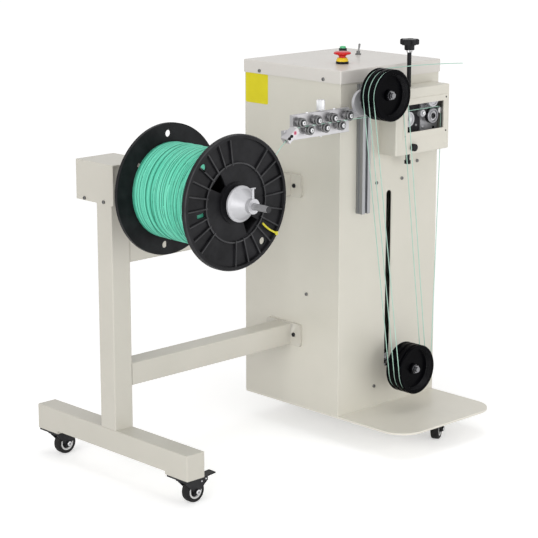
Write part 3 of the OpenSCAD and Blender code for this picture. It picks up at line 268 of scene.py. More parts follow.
@dataclass(frozen=True)
class Finish:
    """One surface finish of the machine, with its colours in linear light."""

    name: str
    color: Triple
    cloud: Triple
    roughness: float
    spread: float = 0.06
    metallic: float = 0.0
    coat: float = 0.0
    texture: Texture = Texture.GRAIN
    fine: float = 900.0
    coarse: float = 9.0
    depth: float = 0.00006
    dust: float = 0.0
    stretch: Triple = (1.0, 1.0, 1.0)
    centre: Triple = (0.0, 0.0, 0.0)
    turn: Triple = (0.0, 0.0, 0.0)
    specular: float = 0.5

    def about_y(self, name: str, x: float, z: float) -> "Finish":
        """This finish with its turning marks about an axis along Y through a place in the datum.

        Args:
            name: Name of the new finish.
            x: The axis's place along X.
            z: The axis's height.

        Returns:
            The new finish.
        """
        middle = point(x, 0.0, z)
        return replace(self, name=name, texture=Texture.TURNED, turn=(math.pi / 2, 0.0, 0.0),
                       centre=(-middle.x, middle.z, 0.0))

    def material(self) -> bpy.types.Material:
        """The material of this finish, built the first time it is asked for.

        Returns:
            The material, with its node tree.
        """
        made = bpy.data.materials.get(self.name)
        if made:
            return made
        material = bpy.data.materials.new(self.name)
        material.use_nodes = True
        graph = Graph(material.node_tree)
        place = graph.add("ShaderNodeTexCoord").outputs["Object"]
        mapping = graph.add("ShaderNodeMapping", {"Vector": place, "Location": self.centre,
                                                  "Rotation": self.turn, "Scale": self.stretch})
        given = {"Fine": self.fine, "Coarse": self.coarse, "Vector": mapping.outputs[0]}
        structure = graph.add("ShaderNodeGroup", given, node_tree=Effects.texture(self.texture)).outputs
        cloud = structure["Cloud"]
        color = graph.mix((*self.color, 1.0), (*self.cloud, 1.0), graph.ramp(cloud, 0.3, 0.7))
        gloss = graph.ramp(cloud, 0.0, 1.0, self.roughness - self.spread, self.roughness + self.spread)
        rough = graph.math("ADD", gloss, graph.math("MULTIPLY", structure["Speck"], self.spread))
        if self.dust:
            given = {"Amount": self.dust, "Vector": place}
            mask = graph.add("ShaderNodeGroup", given, node_tree=Effects.dust()).outputs["Mask"]
            color = graph.mix(color, DUST_COLOR, mask)
            rough = graph.math("ADD", rough, graph.math("MULTIPLY", mask, 0.5))
        bump = graph.add("ShaderNodeBump", {"Strength": 0.6, "Distance": self.depth,
                                            "Height": structure["Height"]})
        shader = material.node_tree.nodes["Principled BSDF"].inputs
        values = {"Metallic": self.metallic, "Coat Weight": self.coat, "Coat Roughness": COAT_ROUGHNESS,
                  "Specular IOR Level": self.specular, "Base Color": color, "Roughness": rough,
                  "Normal": bump.outputs[0]}
        for label, value in values.items():
            graph.fill(shader[label], value)
        return material


CREAM_PAINT = Finish("cream_powder_coat", (0.63, 0.605, 0.535), (0.605, 0.585, 0.515), 0.40, coat=0.08,
                     fine=420.0, dust=0.04)
# Darker copy of the cream paint for the stand: painted shade, where less light falls than on the cabinet.
STAND_SHADED_PAINT = replace(CREAM_PAINT, name="stand_coat_painted_shade", color=(0.55, 0.527, 0.468),
                      cloud=(0.53, 0.51, 0.45))
# Lighter copy of the cream paint for the base plate: painted light, lifting the shade on its top.
BASE_LIT_PAINT = replace(CREAM_PAINT, name="base_coat_painted_light", color=(0.70, 0.673, 0.60),
                     cloud=(0.675, 0.65, 0.58))
LID_PAINT = Finish("lid_powder_coat", (0.64, 0.61, 0.575), (0.615, 0.59, 0.555), 0.38, coat=0.1, fine=420.0,
                   dust=0.04)
MOULDED_BLACK = Finish("moulded_black", (0.007, 0.007, 0.008), (0.013, 0.013, 0.015), 0.36, 0.1,
                       coarse=24.0, depth=0.00005, dust=0.03, specular=0.12)
SPOOL_BLACK = Finish("spool_black", (0.004, 0.004, 0.005), (0.017, 0.017, 0.019), 0.42, 0.14, fine=700.0,
                     coarse=26.0, depth=0.00008, dust=0.02, specular=0.10)
# Lighter grey on the rib tops, ring and rim chamfers: a painted highlight where the edges catch the light.
SPOOL_EDGE_HIGHLIGHT = Finish("spool_painted_edge_highlight", (0.042, 0.042, 0.045), (0.016, 0.016, 0.018), 0.4, 0.1, fine=700.0,
                    coarse=40.0, specular=0.2)
PULLEY_BLACK = Finish("pulley_black", (0.001, 0.001, 0.0015), (0.002, 0.002, 0.003), 0.24, fine=1500.0,
                      coarse=20.0, depth=0.00004, specular=0.03)
PULLEY_GLOSS = replace(PULLEY_BLACK, name="pulley_gloss", color=(0.10, 0.10, 0.107),
                       cloud=(0.05, 0.05, 0.055), roughness=0.18, spread=0.05, metallic=0.8, specular=0.5)
DARK_STEEL = Finish("blackened_steel", (0.02, 0.02, 0.022), (0.032, 0.032, 0.034), 0.42, 0.1, metallic=0.6,
                    fine=800.0, coarse=30.0, specular=0.2)
DARK_PLATE = Finish("dark_plate", (0.030, 0.028, 0.033), (0.045, 0.042, 0.048), 0.48, 0.1, metallic=0.2,
                    fine=700.0, coarse=20.0, specular=0.2)
BRIGHT_STEEL = Finish("bright_steel", (0.34, 0.34, 0.355), (0.26, 0.26, 0.275), 0.24, 0.08, metallic=1.0,
                      fine=1400.0, coarse=60.0, depth=0.00002)
NOSE_STEEL = replace(BRIGHT_STEEL, name="nose_steel", color=(0.26, 0.26, 0.27), cloud=(0.19, 0.19, 0.20))
SHAFT_STEEL = replace(BRIGHT_STEEL, name="shaft_steel", color=(0.36, 0.36, 0.37), cloud=(0.28, 0.28, 0.29),
                      roughness=0.36, metallic=0.4)
SCREW_ZINC = replace(BRIGHT_STEEL, name="zinc_screws", color=(0.20, 0.20, 0.20), cloud=(0.15, 0.15, 0.15),
                     roughness=0.3, coarse=80.0)
ROLLER_STEEL = replace(BRIGHT_STEEL, name="roller_steel", color=(0.17, 0.168, 0.17),
                       cloud=(0.12, 0.12, 0.123), roughness=0.30, spread=0.06)
ALUMINIUM = Finish("drawn_aluminium", (0.34, 0.345, 0.355), (0.29, 0.295, 0.305), 0.42, 0.07, metallic=1.0,
                   texture=Texture.DRAWN, coarse=18.0, depth=0.00002, stretch=(1.0, 1.0, 0.04))
MILLED_PLATE = replace(ALUMINIUM, name="milled_aluminium", color=(0.50, 0.492, 0.505),
                       cloud=(0.43, 0.422, 0.435), roughness=0.48, spread=0.08, coarse=22.0,
                       stretch=(0.05, 1.0, 1.0))
CAST_ALUMINIUM = Finish("turned_aluminium", (0.50, 0.50, 0.52), (0.45, 0.45, 0.47), 0.48, metallic=0.35,
                        fine=1800.0, coarse=25.0, depth=0.00003)
TYRE_RUBBER = Finish("tyre_rubber", (0.010, 0.010, 0.011), (0.018, 0.017, 0.017), 0.62, 0.1, fine=1100.0,
                     coarse=40.0, depth=0.00008, dust=0.08, specular=0.15)
PALE_HUB = Finish("pale_hub", (0.66, 0.66, 0.66), (0.58, 0.58, 0.58), 0.36, 0.08, coarse=40.0)
NYLON_WHITE = Finish("nylon_white", (0.74, 0.73, 0.71), (0.68, 0.67, 0.65), 0.4, 0.08, coarse=60.0)
WIRE_GREEN = Finish("wire_insulation", (0.42, 0.62, 0.53), (0.36, 0.56, 0.47), 0.38, 0.08, fine=1600.0,
                    coarse=45.0, depth=0.00002, specular=0.3)
WOUND_GREEN = Finish("wound_insulation", (0.19, 0.72, 0.53), (0.15, 0.62, 0.45), 0.42, 0.1,
                     texture=Texture.DRAWN, fine=600.0, coarse=90.0, depth=0.00003,
                     stretch=(0.12, 1.0, 0.12), specular=0.3)
WOUND_TONES = (
    WOUND_GREEN,
    replace(WOUND_GREEN, name="wound_middle", color=(0.11, 0.57, 0.40), cloud=(0.085, 0.48, 0.33)),
    # The darkest tone is painted shade on sunk turns and on the core below them, and a dark tone on some
    # strays.
    replace(WOUND_GREEN, name="wound_dark_and_painted_shade", color=(0.040, 0.30, 0.20), cloud=(0.030, 0.24, 0.155)),
)
STOP_RED = Finish("stop_red", (0.58, 0.010, 0.014), (0.52, 0.008, 0.011), 0.3, coat=0.04, coarse=50.0,
                  specular=0.25)
STOP_YELLOW = Finish("stop_yellow", (0.86, 0.60, 0.02), (0.8, 0.54, 0.015), 0.34, coat=0.05,
                     coarse=50.0, specular=0.3)
STICKER_YELLOW = Finish("sticker_yellow", (0.70, 0.62, 0.018), (0.66, 0.58, 0.015), 0.40, 0.05, fine=500.0,
                        coarse=25.0, depth=0.00002, specular=0.2)
TIE_YELLOW = Finish("tie_yellow", (0.62, 0.56, 0.03), (0.5, 0.45, 0.02), 0.42, 0.08, coarse=120.0)
BUTTON_GREEN = Finish("button_green", (0.006, 0.06, 0.035), (0.005, 0.05, 0.03), 0.26, 0.05, coat=0.05,
                      coarse=60.0, specular=0.25)
PINK_MARK = Finish("pink_mark", (0.62, 0.16, 0.25), (0.54, 0.12, 0.2), 0.4, coarse=90.0)
MARK_RED = Finish("mark_red", (0.40, 0.01, 0.05), (0.33, 0.008, 0.04), 0.4, coarse=90.0)


# Shapes


class Recess(Enum):
    """Outlines of the drive in a screw's head, as corners for a drive one millimetre across."""

    HEX = tuple((0.5 * math.cos(k * math.pi / 3), 0.5 * math.sin(k * math.pi / 3)) for k in range(6))
    CROSS = ((0.5, -0.1), (0.5, 0.1), (0.1, 0.1), (0.1, 0.5), (-0.1, 0.5), (-0.1, 0.1),
             (-0.5, 0.1), (-0.5, -0.1), (-0.1, -0.1), (-0.1, -0.5), (0.1, -0.5), (0.1, -0.1))
    SLOT = ((0.5, -0.09), (0.5, 0.09), (-0.5, 0.09), (-0.5, -0.09))


# Shares of a screw head's height and scales, of its steps from the foot up and of its sunk drive.
HEAD_STEPS = ((0.62, 1.0), (0.26, 0.92), (0.12, 0.84))
DRIVE_SINK, DRIVE_SCALE = 0.55, 0.86


def edges_of(verts: Iterable[bmesh.types.BMVert]) -> Edges:
    """The edges that meet some vertices."""
    return list({edge for vert in verts for edge in vert.link_edges})


class Solid:
    """A bmesh that grows shape by shape."""

    def __init__(self) -> None:
        """Starts empty."""
        self.bm = bmesh.new()
        self.copied = False

    @classmethod
    def of_node(cls, node: bpy.types.Object) -> "Solid":
        """A merged copy of a CAD node's mesh, with its flat faces joined up.

        Args:
            node: The CAD node's object.

        Returns:
            A solid that holds the copy.
        """
        solid = cls()
        solid.copied = True
        solid.bm.from_mesh(node.data)
        bmesh.ops.remove_doubles(solid.bm, verts=solid.bm.verts, dist=1e-5)
        bmesh.ops.dissolve_limit(solid.bm, angle_limit=math.radians(0.4), verts=solid.bm.verts,
                                 edges=solid.bm.edges)
        return solid

    def bevel(self, edges: Edges, radius: float, segments: int) -> None:
        """Rounds some edges by a width in millimetres, with some facets across."""
        bmesh.ops.bevel(self.bm, geom=edges, offset=radius * MM, offset_type="OFFSET", segments=segments,
                        profile=0.5, affect="EDGES", clamp_overlap=True, material=-1)

    def round_edges(self, radius: float, segments: int, test: EdgeTest | None = None,
                    angle: float = 30.0) -> "Solid":
        """Rounds sharp edges.

        Args:
            radius: Width of the rounding in millimetres.
            segments: Facets across it.
            test: Which edges take part; all sharp ones if left out.
            angle: Least angle between the faces at an edge, in degrees.

        Returns:
            This solid.
        """
        sharp = [edge for edge in self.bm.edges if len(edge.link_faces) == 2
                 and edge.calc_face_angle(0.0) > math.radians(angle) and (test is None or test(edge))]
        self.bevel(sharp, radius, segments)
        return self

    def turned(self, profile: Profile, origin: Vector, axis: Sequence[float], steps: int = 48) -> "Solid":
        """Adds a turned shape.

        Args:
            profile: Radius and distance along the axis of each corner, in millimetres; a ring ends where
                it starts.
            origin: Point on the axis in the frame.
            axis: Direction of the axis.
            steps: Facets round the axis.

        Returns:
            This solid.
        """
        along = Vector(axis).normalized()
        side = along.orthogonal().normalized()
        closed = profile[0] == profile[-1]
        corners = profile[:-1] if closed else profile
        chain = [self.bm.verts.new(origin + side * (r * MM) + along * (h * MM)) for r, h in corners]
        edges = [self.bm.edges.new(pair) for pair in zip(chain, chain[1:])]
        if closed:
            edges.append(self.bm.edges.new((chain[-1], chain[0])))
        bmesh.ops.spin(self.bm, geom=chain + edges, cent=origin, axis=along, angle=FULL_TURN, steps=steps,
                       use_merge=True)
        return self

    def block(self, low: Vector, high: Vector, radius: float = 0.0) -> "Solid":
        """Adds a box between two corners in the frame, with its edges rounded by some millimetres.

        Args:
            low: The lower corner.
            high: The upper corner.
            radius: Width of the rounding; 0 leaves the edges sharp.

        Returns:
            This solid.
        """
        stand = Matrix.LocRotScale((low + high) / 2, None, high - low)
        made = bmesh.ops.create_cube(self.bm, size=1.0, matrix=stand)
        if radius:
            self.bevel(edges_of(made["verts"]), radius, 2)
        return self

    def ring(self, radius: float, segments: int) -> Edges:
        """Adds a circle of edges about the local Z axis, with its radius in millimetres."""
        return edges_of(bmesh.ops.create_circle(self.bm, radius=radius * MM, segments=segments)["verts"])

    def raised(self, edges: Edges, rise: float, scale: float = 1.0) -> Edges:
        """Extrudes a ring of edges about the local Z axis.

        Args:
            edges: The ring.
            rise: How far it moves along Z, in millimetres.
            scale: How much it widens.

        Returns:
            The edges of the new ring.
        """
        grown = bmesh.ops.extrude_edge_only(self.bm, edges=edges)["geom"]
        verts = [item for item in grown if isinstance(item, bmesh.types.BMVert)]
        bmesh.ops.scale(self.bm, verts=verts, vec=(scale, scale, 1.0))
        bmesh.ops.translate(self.bm, verts=verts, vec=(0.0, 0.0, rise * MM))
        ends = set(verts)
        return [item for item in grown if isinstance(item, bmesh.types.BMEdge) and set(item.verts) <= ends]

    def stood(self, before: set[bmesh.types.BMVert], matrix: Matrix) -> "Solid":
        """Moves what was made after a set of vertices was noted.

        Args:
            before: The vertices that stay.
            matrix: How the others move.

        Returns:
            This solid.
        """
        fresh = [vert for vert in self.bm.verts if vert not in before]
        bmesh.ops.transform(self.bm, matrix=matrix, verts=fresh)
        return self

    def screw_head(self, seat: Vector, axis: Sequence[float], head_d: float, head_h: float, recess: Recess,
                   drive: float, roll: float = 0.0) -> "Solid":
        """Adds a screw's head with a drive sunk into it.

        Args:
            seat: Where the head sits, in the frame.
            axis: Which way it looks.
            head_d: Diameter in millimetres.
            head_h: Height in millimetres.
            recess: Outline of the drive.
            drive: Size across the drive in millimetres.
            roll: Turn about the axis in radians.

        Returns:
            This solid.
        """
        before = set(self.bm.verts)
        foot = self.ring(head_d / 2, 24)
        bmesh.ops.contextual_create(self.bm, geom=foot)
        brim = foot
        for rise, scale in HEAD_STEPS:
            brim = self.raised(brim, head_h * rise, scale)
        corners = [self.bm.verts.new((x * drive * MM, y * drive * MM, head_h * MM)) for x, y in recess.value]
        mouth = [self.bm.edges.new(pair) for pair in zip(corners, corners[1:] + corners[:1])]
        bmesh.ops.bridge_loops(self.bm, edges=brim + mouth)
        bmesh.ops.contextual_create(self.bm, geom=self.raised(mouth, -DRIVE_SINK * head_h, DRIVE_SCALE))
        return self.stood(before, facing(seat, axis, roll))

    def fluted(self, seat: Vector, axis: Sequence[float], radius: float, height: float, flutes: int,
               depth: float) -> "Solid":
        """Adds a grip with flutes or a straight knurl round it.

        Args:
            seat: Middle of its foot, in the frame.
            axis: Which way it stands.
            radius: Outer radius in millimetres.
            height: Height in millimetres.
            flutes: How many flutes it has.
            depth: Depth of a flute in millimetres.

        Returns:
            This solid.
        """
        before = set(self.bm.verts)
        chamfer = 0.8
        foot = self.ring(radius, 4 * flutes)
        rim = sorted({vert for edge in foot for vert in edge.verts},
                     key=lambda v: math.atan2(v.co.y, v.co.x))
        for vert in rim[::4]:
            vert.co *= 1.0 - depth / radius
        small = 1.0 - chamfer / radius
        bmesh.ops.scale(self.bm, verts=rim, vec=(small, small, 1.0))
        bmesh.ops.contextual_create(self.bm, geom=foot)
        waist = self.raised(foot, chamfer, 1.0 / small)
        crown = self.raised(self.raised(waist, height - 2 * chamfer), chamfer, small)
        bmesh.ops.contextual_create(self.bm, geom=crown)
        return self.stood(before, facing(seat, axis))

    def moved(self, matrix: Matrix) -> "Solid":
        """Moves everything made so far."""
        bmesh.ops.transform(self.bm, matrix=matrix, verts=self.bm.verts)
        return self

    def painted(self, choose: Callable[[Vector], int]) -> "Solid":
        """Gives each face a finish by its middle, in the datum's millimetres.

        Args:
            choose: Says the finish's number for a place.

        Returns:
            This solid.
        """
        for face in self.bm.faces:
            face.material_index = choose(face.calc_center_median() / MM + DATUM)
        return self


def bends(axes: str = "xyz", width: float = 8.0) -> EdgeTest:
    """Test for the bends of a sheet or a tube.

    Args:
        axes: Directions that a bend may run in.
        width: Least width in millimetres of the faces on its two sides, which leaves out the sheet's rims.

    Returns:
        A test that is true for an outer edge between two wide faces.
    """

    def test(edge: bmesh.types.BMEdge) -> bool:
        """True where the edge is such a bend.

        Args:
            edge: The edge to test.

        Returns:
            Whether it is an outer edge between two wide faces.
        """
        length = edge.calc_length()
        run = edge.verts[1].co - edge.verts[0].co
        along = "xyz"[max(range(3), key=lambda axis: abs(run[axis]))]
        wide = all(face.calc_area() > width * MM * length for face in edge.link_faces)
        return edge.is_convex and along in axes and length > 2 * width * MM and wide

    return test


def tube(name: str, runs: Sequence[Sequence[Vector]], diameter: float, sides: int) -> bpy.types.Object:
    """A round tube along one or more lines, as a curve.

    Args:
        name: Name of the object.
        runs: Points of each line, in the frame.
        diameter: Diameter in millimetres.
        sides: Bevel resolution; 0 gives four sides and each step two more.

    Returns:
        The curve object, linked into the scene.
    """
    curve = bpy.data.curves.new(name, "CURVE")
    curve.dimensions = "3D"
    curve.bevel_depth = diameter / 2 * MM
    curve.bevel_resolution = sides
    curve.use_fill_caps = True
    for run in runs:
        spline = curve.splines.new("POLY")
        spline.points.add(len(run) - 1)
        for spot, place in zip(spline.points, run):
            spot.co = (*place, 1.0)
        spline.use_smooth = True
    return placed(name, curve)


def tube_mesh(runs: Sequence[Sequence[Vector]], diameter: float, sides: int = 2) -> Solid:
    """The same tube as a solid of mesh.

    Args:
        runs: Lines that the tube follows, in the frame.
        diameter: Its diameter in millimetres.
        sides: Resolution of its round section.

    Returns:
        A solid that holds the tube's mesh.
    """
    obj = tube("tube_line", runs, diameter, sides)
    mesh = bpy.data.meshes.new_from_object(obj.evaluated_get(bpy.context.evaluated_depsgraph_get()))
    curve = obj.data
    bpy.data.objects.remove(obj)
    bpy.data.curves.remove(curve)
    solid = Solid()
    solid.bm.from_mesh(mesh)
    bpy.data.meshes.remove(mesh)
    return solid


def arc(centre: Spot, y: float, radius: float, start: float, end: float, count: int) -> list[Vector]:
    """Points of an arc about an axis along Y, between two angles in degrees from +X towards +Z."""
    angles = [math.radians(start + (end - start) * k / (count - 1)) for k in range(count)]
    return [point(centre[0] + radius * math.cos(a), y, centre[1] + radius * math.sin(a)) for a in angles]


def smoothed(route: Sequence[Vector], steps: int = 5) -> list[Vector]:
    """A curve through the points of a route, with some steps between each two.

    Args:
        route: The points that the curve goes through.
        steps: Steps between two of them.

    Returns:
        The points of the curve, the route's own among them.
    """
    line = [route[0]]
    for k in range(len(route) - 1):
        a, b = route[max(k - 1, 0)], route[k]
        c, d = route[k + 1], route[min(k + 2, len(route) - 1)]
        for step in range(1, steps + 1):
            t = step / steps
            line.append(0.5 * ((2 * b) + (c - a) * t + (2 * a - 5 * b + 4 * c - d) * t * t
                               + (3 * b - a - 3 * c + d) * t * t * t))
    return line


def mirrored(half: Profile) -> list[Spot]:
    """A closed profile that is the same on both sides of its middle, from the far half."""
    near = [(r, -h) for r, h in half]
    return near + list(reversed(half)) + near[:1]


class Bench:
    """Puts finished shapes and finishes on the frame."""

    def __init__(self, frame: dict) -> None:
        """Keeps the nodes of the loaded frame."""
        self.nodes: dict[str, bpy.types.Object] = frame["nodes"]

    def copy(self, node: str) -> Solid:
        """A merged copy of a CAD node's mesh."""
        return Solid.of_node(self.nodes[node])

    def dress(self, node: str, finish: Finish) -> None:
        """Gives a CAD node that stays in view its finish.

        Args:
            node: The CAD node's name.
            finish: The finish that it gets.
        """
        obj = self.nodes[node]
        if not obj.material_slots:
            obj.data.materials.append(None)
        for slot in obj.material_slots:
            slot.material = finish.material()
        LOG.info("%s keeps its CAD form in %s", node, finish.name)

    def settle(self, obj: bpy.types.Object, body: str, slot: str, stands_for: Sequence[str] = ()) -> None:
        """Puts a piece on its body and hides the CAD nodes that it replaces.

        Args:
            obj: The piece.
            body: The body that it rides on.
            slot: The material slot it fills; not used.
            stands_for: CAD nodes that it replaces.
        """
        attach(obj, body)
        if stands_for:
            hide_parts(*stands_for)
        LOG.info("%s rides on %s", obj.name, body)

    def piece(self, name: str, solid: Solid, finishes: Sequence[Finish], body: str, slot: str,
              stands_for: Sequence[str] = (), sharp: float = 34.0) -> bpy.types.Object:
        """Makes a piece of a solid.

        Args:
            name: Name of the piece.
            solid: Its shape, which is used up.
            finishes: Its finishes, in the order of its faces' numbers.
            body: Body that it rides on.
            slot: Material slot of the record.
            stands_for: CAD nodes that it replaces.
            sharp: Angle in degrees from which an edge shows as sharp.

        Returns:
            The finished object.
        """
        bm = solid.bm
        if not solid.copied:
            bmesh.ops.remove_doubles(bm, verts=bm.verts, dist=1e-6)
            bmesh.ops.recalc_face_normals(bm, faces=bm.faces)
        mesh = bpy.data.meshes.new(name)
        bm.to_mesh(mesh)
        bm.free()
        for finish in finishes:
            mesh.materials.append(finish.material())
        mesh.shade_smooth()
        mesh.set_sharp_from_angle(angle=math.radians(sharp))
        obj = placed(name, mesh)
        if solid.copied:
            obj.modifiers.new("level_normals", "WEIGHTED_NORMAL").keep_sharp = True
        self.settle(obj, body, slot, stands_for)
        return obj


# The studio


@dataclass(frozen=True)
class Lamp:
    """A soft square lamp, in the frame's metres and in watts."""

    name: str
    spot: Triple
    size: float
    power: float
    aim: Triple = (0.05, 0.0, 0.45)

    def hang(self) -> None:
        """Adds the lamp to the scene."""
        data = bpy.data.lights.new(self.name, "AREA")
        data.size = self.size
        data.energy = self.power
        obj = placed(self.name, data)
        obj.location = self.spot
        obj.rotation_euler = (Vector(self.aim) - Vector(self.spot)).to_track_quat("-Z", "Y").to_euler()


LAMPS = (
    Lamp("front", (-2.3, -3.2, 1.4), 2.8, 34.0),
    Lamp("key", (0.8, -2.3, 0.35), 2.0, 23.0, (0.3, -0.1, 0.2)),
    Lamp("fill", (-4.6, -1.3, 1.5), 3.0, 96.0),
    Lamp("top", (0.0, -0.2, 3.4), 2.2, 23.0),
)


@dataclass
class Studio:
    """White floor, soft light and the camera, in the frame's metres."""

    eye: Triple = (-2.82285, -2.93925, 1.39474)
    yaw: float = 0.7647
    dip: float = 0.2326
    lens: float = 124.68
    sky: float = 0.50
    floor_size: float = 30.0
    floor_tone: float = 0.85
    near_glow: float = 0.42
    far_glow: float = 0.62

    def camera(self) -> None:
        """Sets the camera at the viewing angle of the photograph."""
        data = bpy.data.cameras.new("camera")
        data.lens = self.lens
        data.sensor_width = 36.0
        data.clip_end = 100.0
        obj = placed("camera", data)
        obj.location = self.eye
        look = Vector((math.sin(self.yaw) * math.cos(self.dip), math.cos(self.yaw) * math.cos(self.dip),
                       -math.sin(self.dip)))
        obj.rotation_euler = look.to_track_quat("-Z", "Y").to_euler()
        bpy.context.scene.camera = obj

    def seen(self, graph: Graph) -> Socket:
        """A mask of the rays that show the background: those of the camera, of gloss and of glass.

        Args:
            graph: The node tree that the mask is made in.

        Returns:
            The mask's output.
        """
        path = graph.add("ShaderNodeLightPath").outputs
        view = graph.math("MAXIMUM", path["Is Camera Ray"], path["Is Glossy Ray"])
        return graph.math("MAXIMUM", view, path["Is Transmission Ray"])

    def world(self) -> None:
        """Soft sky light, white where it is seen."""
        world = bpy.data.worlds.new("studio")
        bpy.context.scene.world = world
        world.use_nodes = True
        world.node_tree.nodes.clear()
        graph = Graph(world.node_tree)
        lit = graph.add("ShaderNodeBackground", {"Color": (1.0, 0.995, 0.985, 1.0), "Strength": self.sky})
        white = graph.add("ShaderNodeBackground", {"Color": (1.0, 1.0, 1.0, 1.0), "Strength": 1.0})
        both = graph.add("ShaderNodeMixShader", {0: self.seen(graph), 1: lit.outputs[0],
                                                 2: white.outputs[0]})
        graph.add("ShaderNodeOutputWorld", {0: both.outputs[0]})

    def floor(self) -> None:
        """A wide white floor that takes the machine's soft shadow."""
        solid = Solid()
        bmesh.ops.create_grid(solid.bm, x_segments=1, y_segments=1, size=self.floor_size)
        mesh = bpy.data.meshes.new("floor")
        solid.bm.to_mesh(mesh)
        solid.bm.free()
        material = bpy.data.materials.new("floor_white")
        material.use_nodes = True
        material.node_tree.nodes.clear()
        graph = Graph(material.node_tree)
        matt = graph.add("ShaderNodeBsdfDiffuse", {"Color": (*[self.floor_tone] * 3, 1.0)})
        place = graph.add("ShaderNodeTexCoord").outputs["Object"]
        reach = graph.add("ShaderNodeVectorMath", {0: place}, operation="LENGTH").outputs["Value"]
        level = graph.ramp(reach, 1.0, 5.0, self.near_glow, self.far_glow)
        glow = graph.add("ShaderNodeEmission", {"Strength": level})
        dark = graph.add("ShaderNodeEmission", {"Strength": 0.0})
        shown = graph.add("ShaderNodeMixShader", {0: self.seen(graph), 1: dark.outputs[0],
                                                  2: glow.outputs[0]})
        total = graph.add("ShaderNodeAddShader", {0: matt.outputs[0], 1: shown.outputs[0]})
        graph.add("ShaderNodeOutputMaterial", {0: total.outputs[0]})
        mesh.materials.append(material)
        placed("floor", mesh)

    def build(self) -> None:
        """Sets up the whole studio."""
        bpy.context.scene.view_settings.view_transform = "Standard"
        self.camera()
        self.world()
        self.floor()
        for lamp in LAMPS:
            lamp.hang()
        LOG.info("studio is set")


# The machine


@dataclass
class SubAssembly:
    """Pieces of the machine that are made together on one bench."""

    bench: Bench

    def build(self) -> None:
        """Makes and dresses the pieces."""
        raise NotImplementedError


@dataclass
class WireRun(SubAssembly):
    """The wire from the spool to its free end."""

    wire_d: float = 2.0
    wrap_r: float = 55.0
    line_y: float = -42.0
    grooves: Triple = (-59.0, -75.0, -91.0)
    left_turn: float = 188.574
    travel: float = 400.0
    inlet: Triple = (291.3, -42.0, 666.0)
    exit_route: Profile = ((66, 873), (106, 873), (166, 872), (226, 870), (286, 867), (346, 863))
    feed_route: Profile = ((-186, 759.6), (-181, 763), (-175.4, 765.8), (-169, 767), (200, 767))

    def on_pulley(self, centre: Spot, angle: float, y: float) -> Vector:
        """A point of the wire on one of the pulleys."""
        a = math.radians(angle)
        return point(centre[0] + self.wrap_r * math.cos(a), y, centre[1] + self.wrap_r * math.sin(a))

    def strand(self, angle: float, high_y: float, low_y: float) -> list[Vector]:
        """A straight run from the upper pulley to the lower one, at one angle round both."""
        return [self.on_pulley(UPPER_PULLEY, angle, high_y), self.on_pulley(LOWER_PULLEY, angle, low_y)]

    def held(self, name: str, runs: list[list[Vector]], body: str,
             stands_for: Sequence[str] = ()) -> bpy.types.Object:
        """A piece of wire that one body holds."""
        solid = tube_mesh(runs, self.wire_d)
        return self.bench.piece(name, solid, [WIRE_GREEN], body, "wire_green", stands_for)

    def free_end(self) -> None:
        """The bare wire that leaves the upper pulley."""
        route = [point(x, self.grooves[0], z) for x, z in self.exit_route]
        line = smoothed(route)
        obj = tube("exit_lead", [line], self.wire_d, 3)
        obj.data.materials.append(WIRE_GREEN.material())
        self.bench.settle(obj, "frame", "wire_green", ["exit_wire"])

    def stretch(self, name: str, runs: list[list[Vector]], stands_for: Sequence[str] = ()) -> None:
        """A set of strands between the pulleys.

        Args:
            name: The piece's name.
            runs: The strands, each from its upper to its lower end.
            stands_for: CAD nodes that it replaces.
        """
        obj = self.held(name, runs, "frame", stands_for)
        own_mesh(obj)

    def loops(self) -> None:
        """The strands of the store of wire and the turns on its two pulleys."""
        back, mid, front = self.grooves
        left, right = self.left_turn, self.left_turn - 180
        self.stretch("loop_left", [self.strand(left, y, y) for y in self.grooves], ["loop_strands"])
        self.stretch("loop_right", [self.strand(right, a, b) for a, b in ((mid, back), (front, mid))])
        self.stretch("loop_feed", [[point(*self.inlet), self.on_pulley(LOWER_PULLEY, right, front)]])
        low = [arc(LOWER_PULLEY, y, self.wrap_r, left, left + 180, 33) for y in self.grooves]
        self.held("lower_turns", low, "dancer", ["lower_wrap"])
        high = [arc(UPPER_PULLEY, y, self.wrap_r, left, right, 33) for y in (mid, front)]
        high.append(arc(UPPER_PULLEY, back, self.wrap_r, left, 90, 17))
        self.held("upper_turns", high, "frame")

    def supply(self) -> None:
        """The wire from the spool through the straightener and the feed unit."""
        route = [point(-425.1, -90, 582.8), point(-225.1, self.line_y, 730.8)]
        route += [point(x, self.line_y, z) for x, z in self.feed_route]
        route += arc((283.0, 758.7), self.line_y, 8.3, 90, 0, 9) + [point(*self.inlet)]
        self.held("supply_wire", [route], "frame", ["held_wire"])

    def build(self) -> None:
        """Makes the whole run of wire."""
        self.free_end()
        self.supply()
        self.loops()


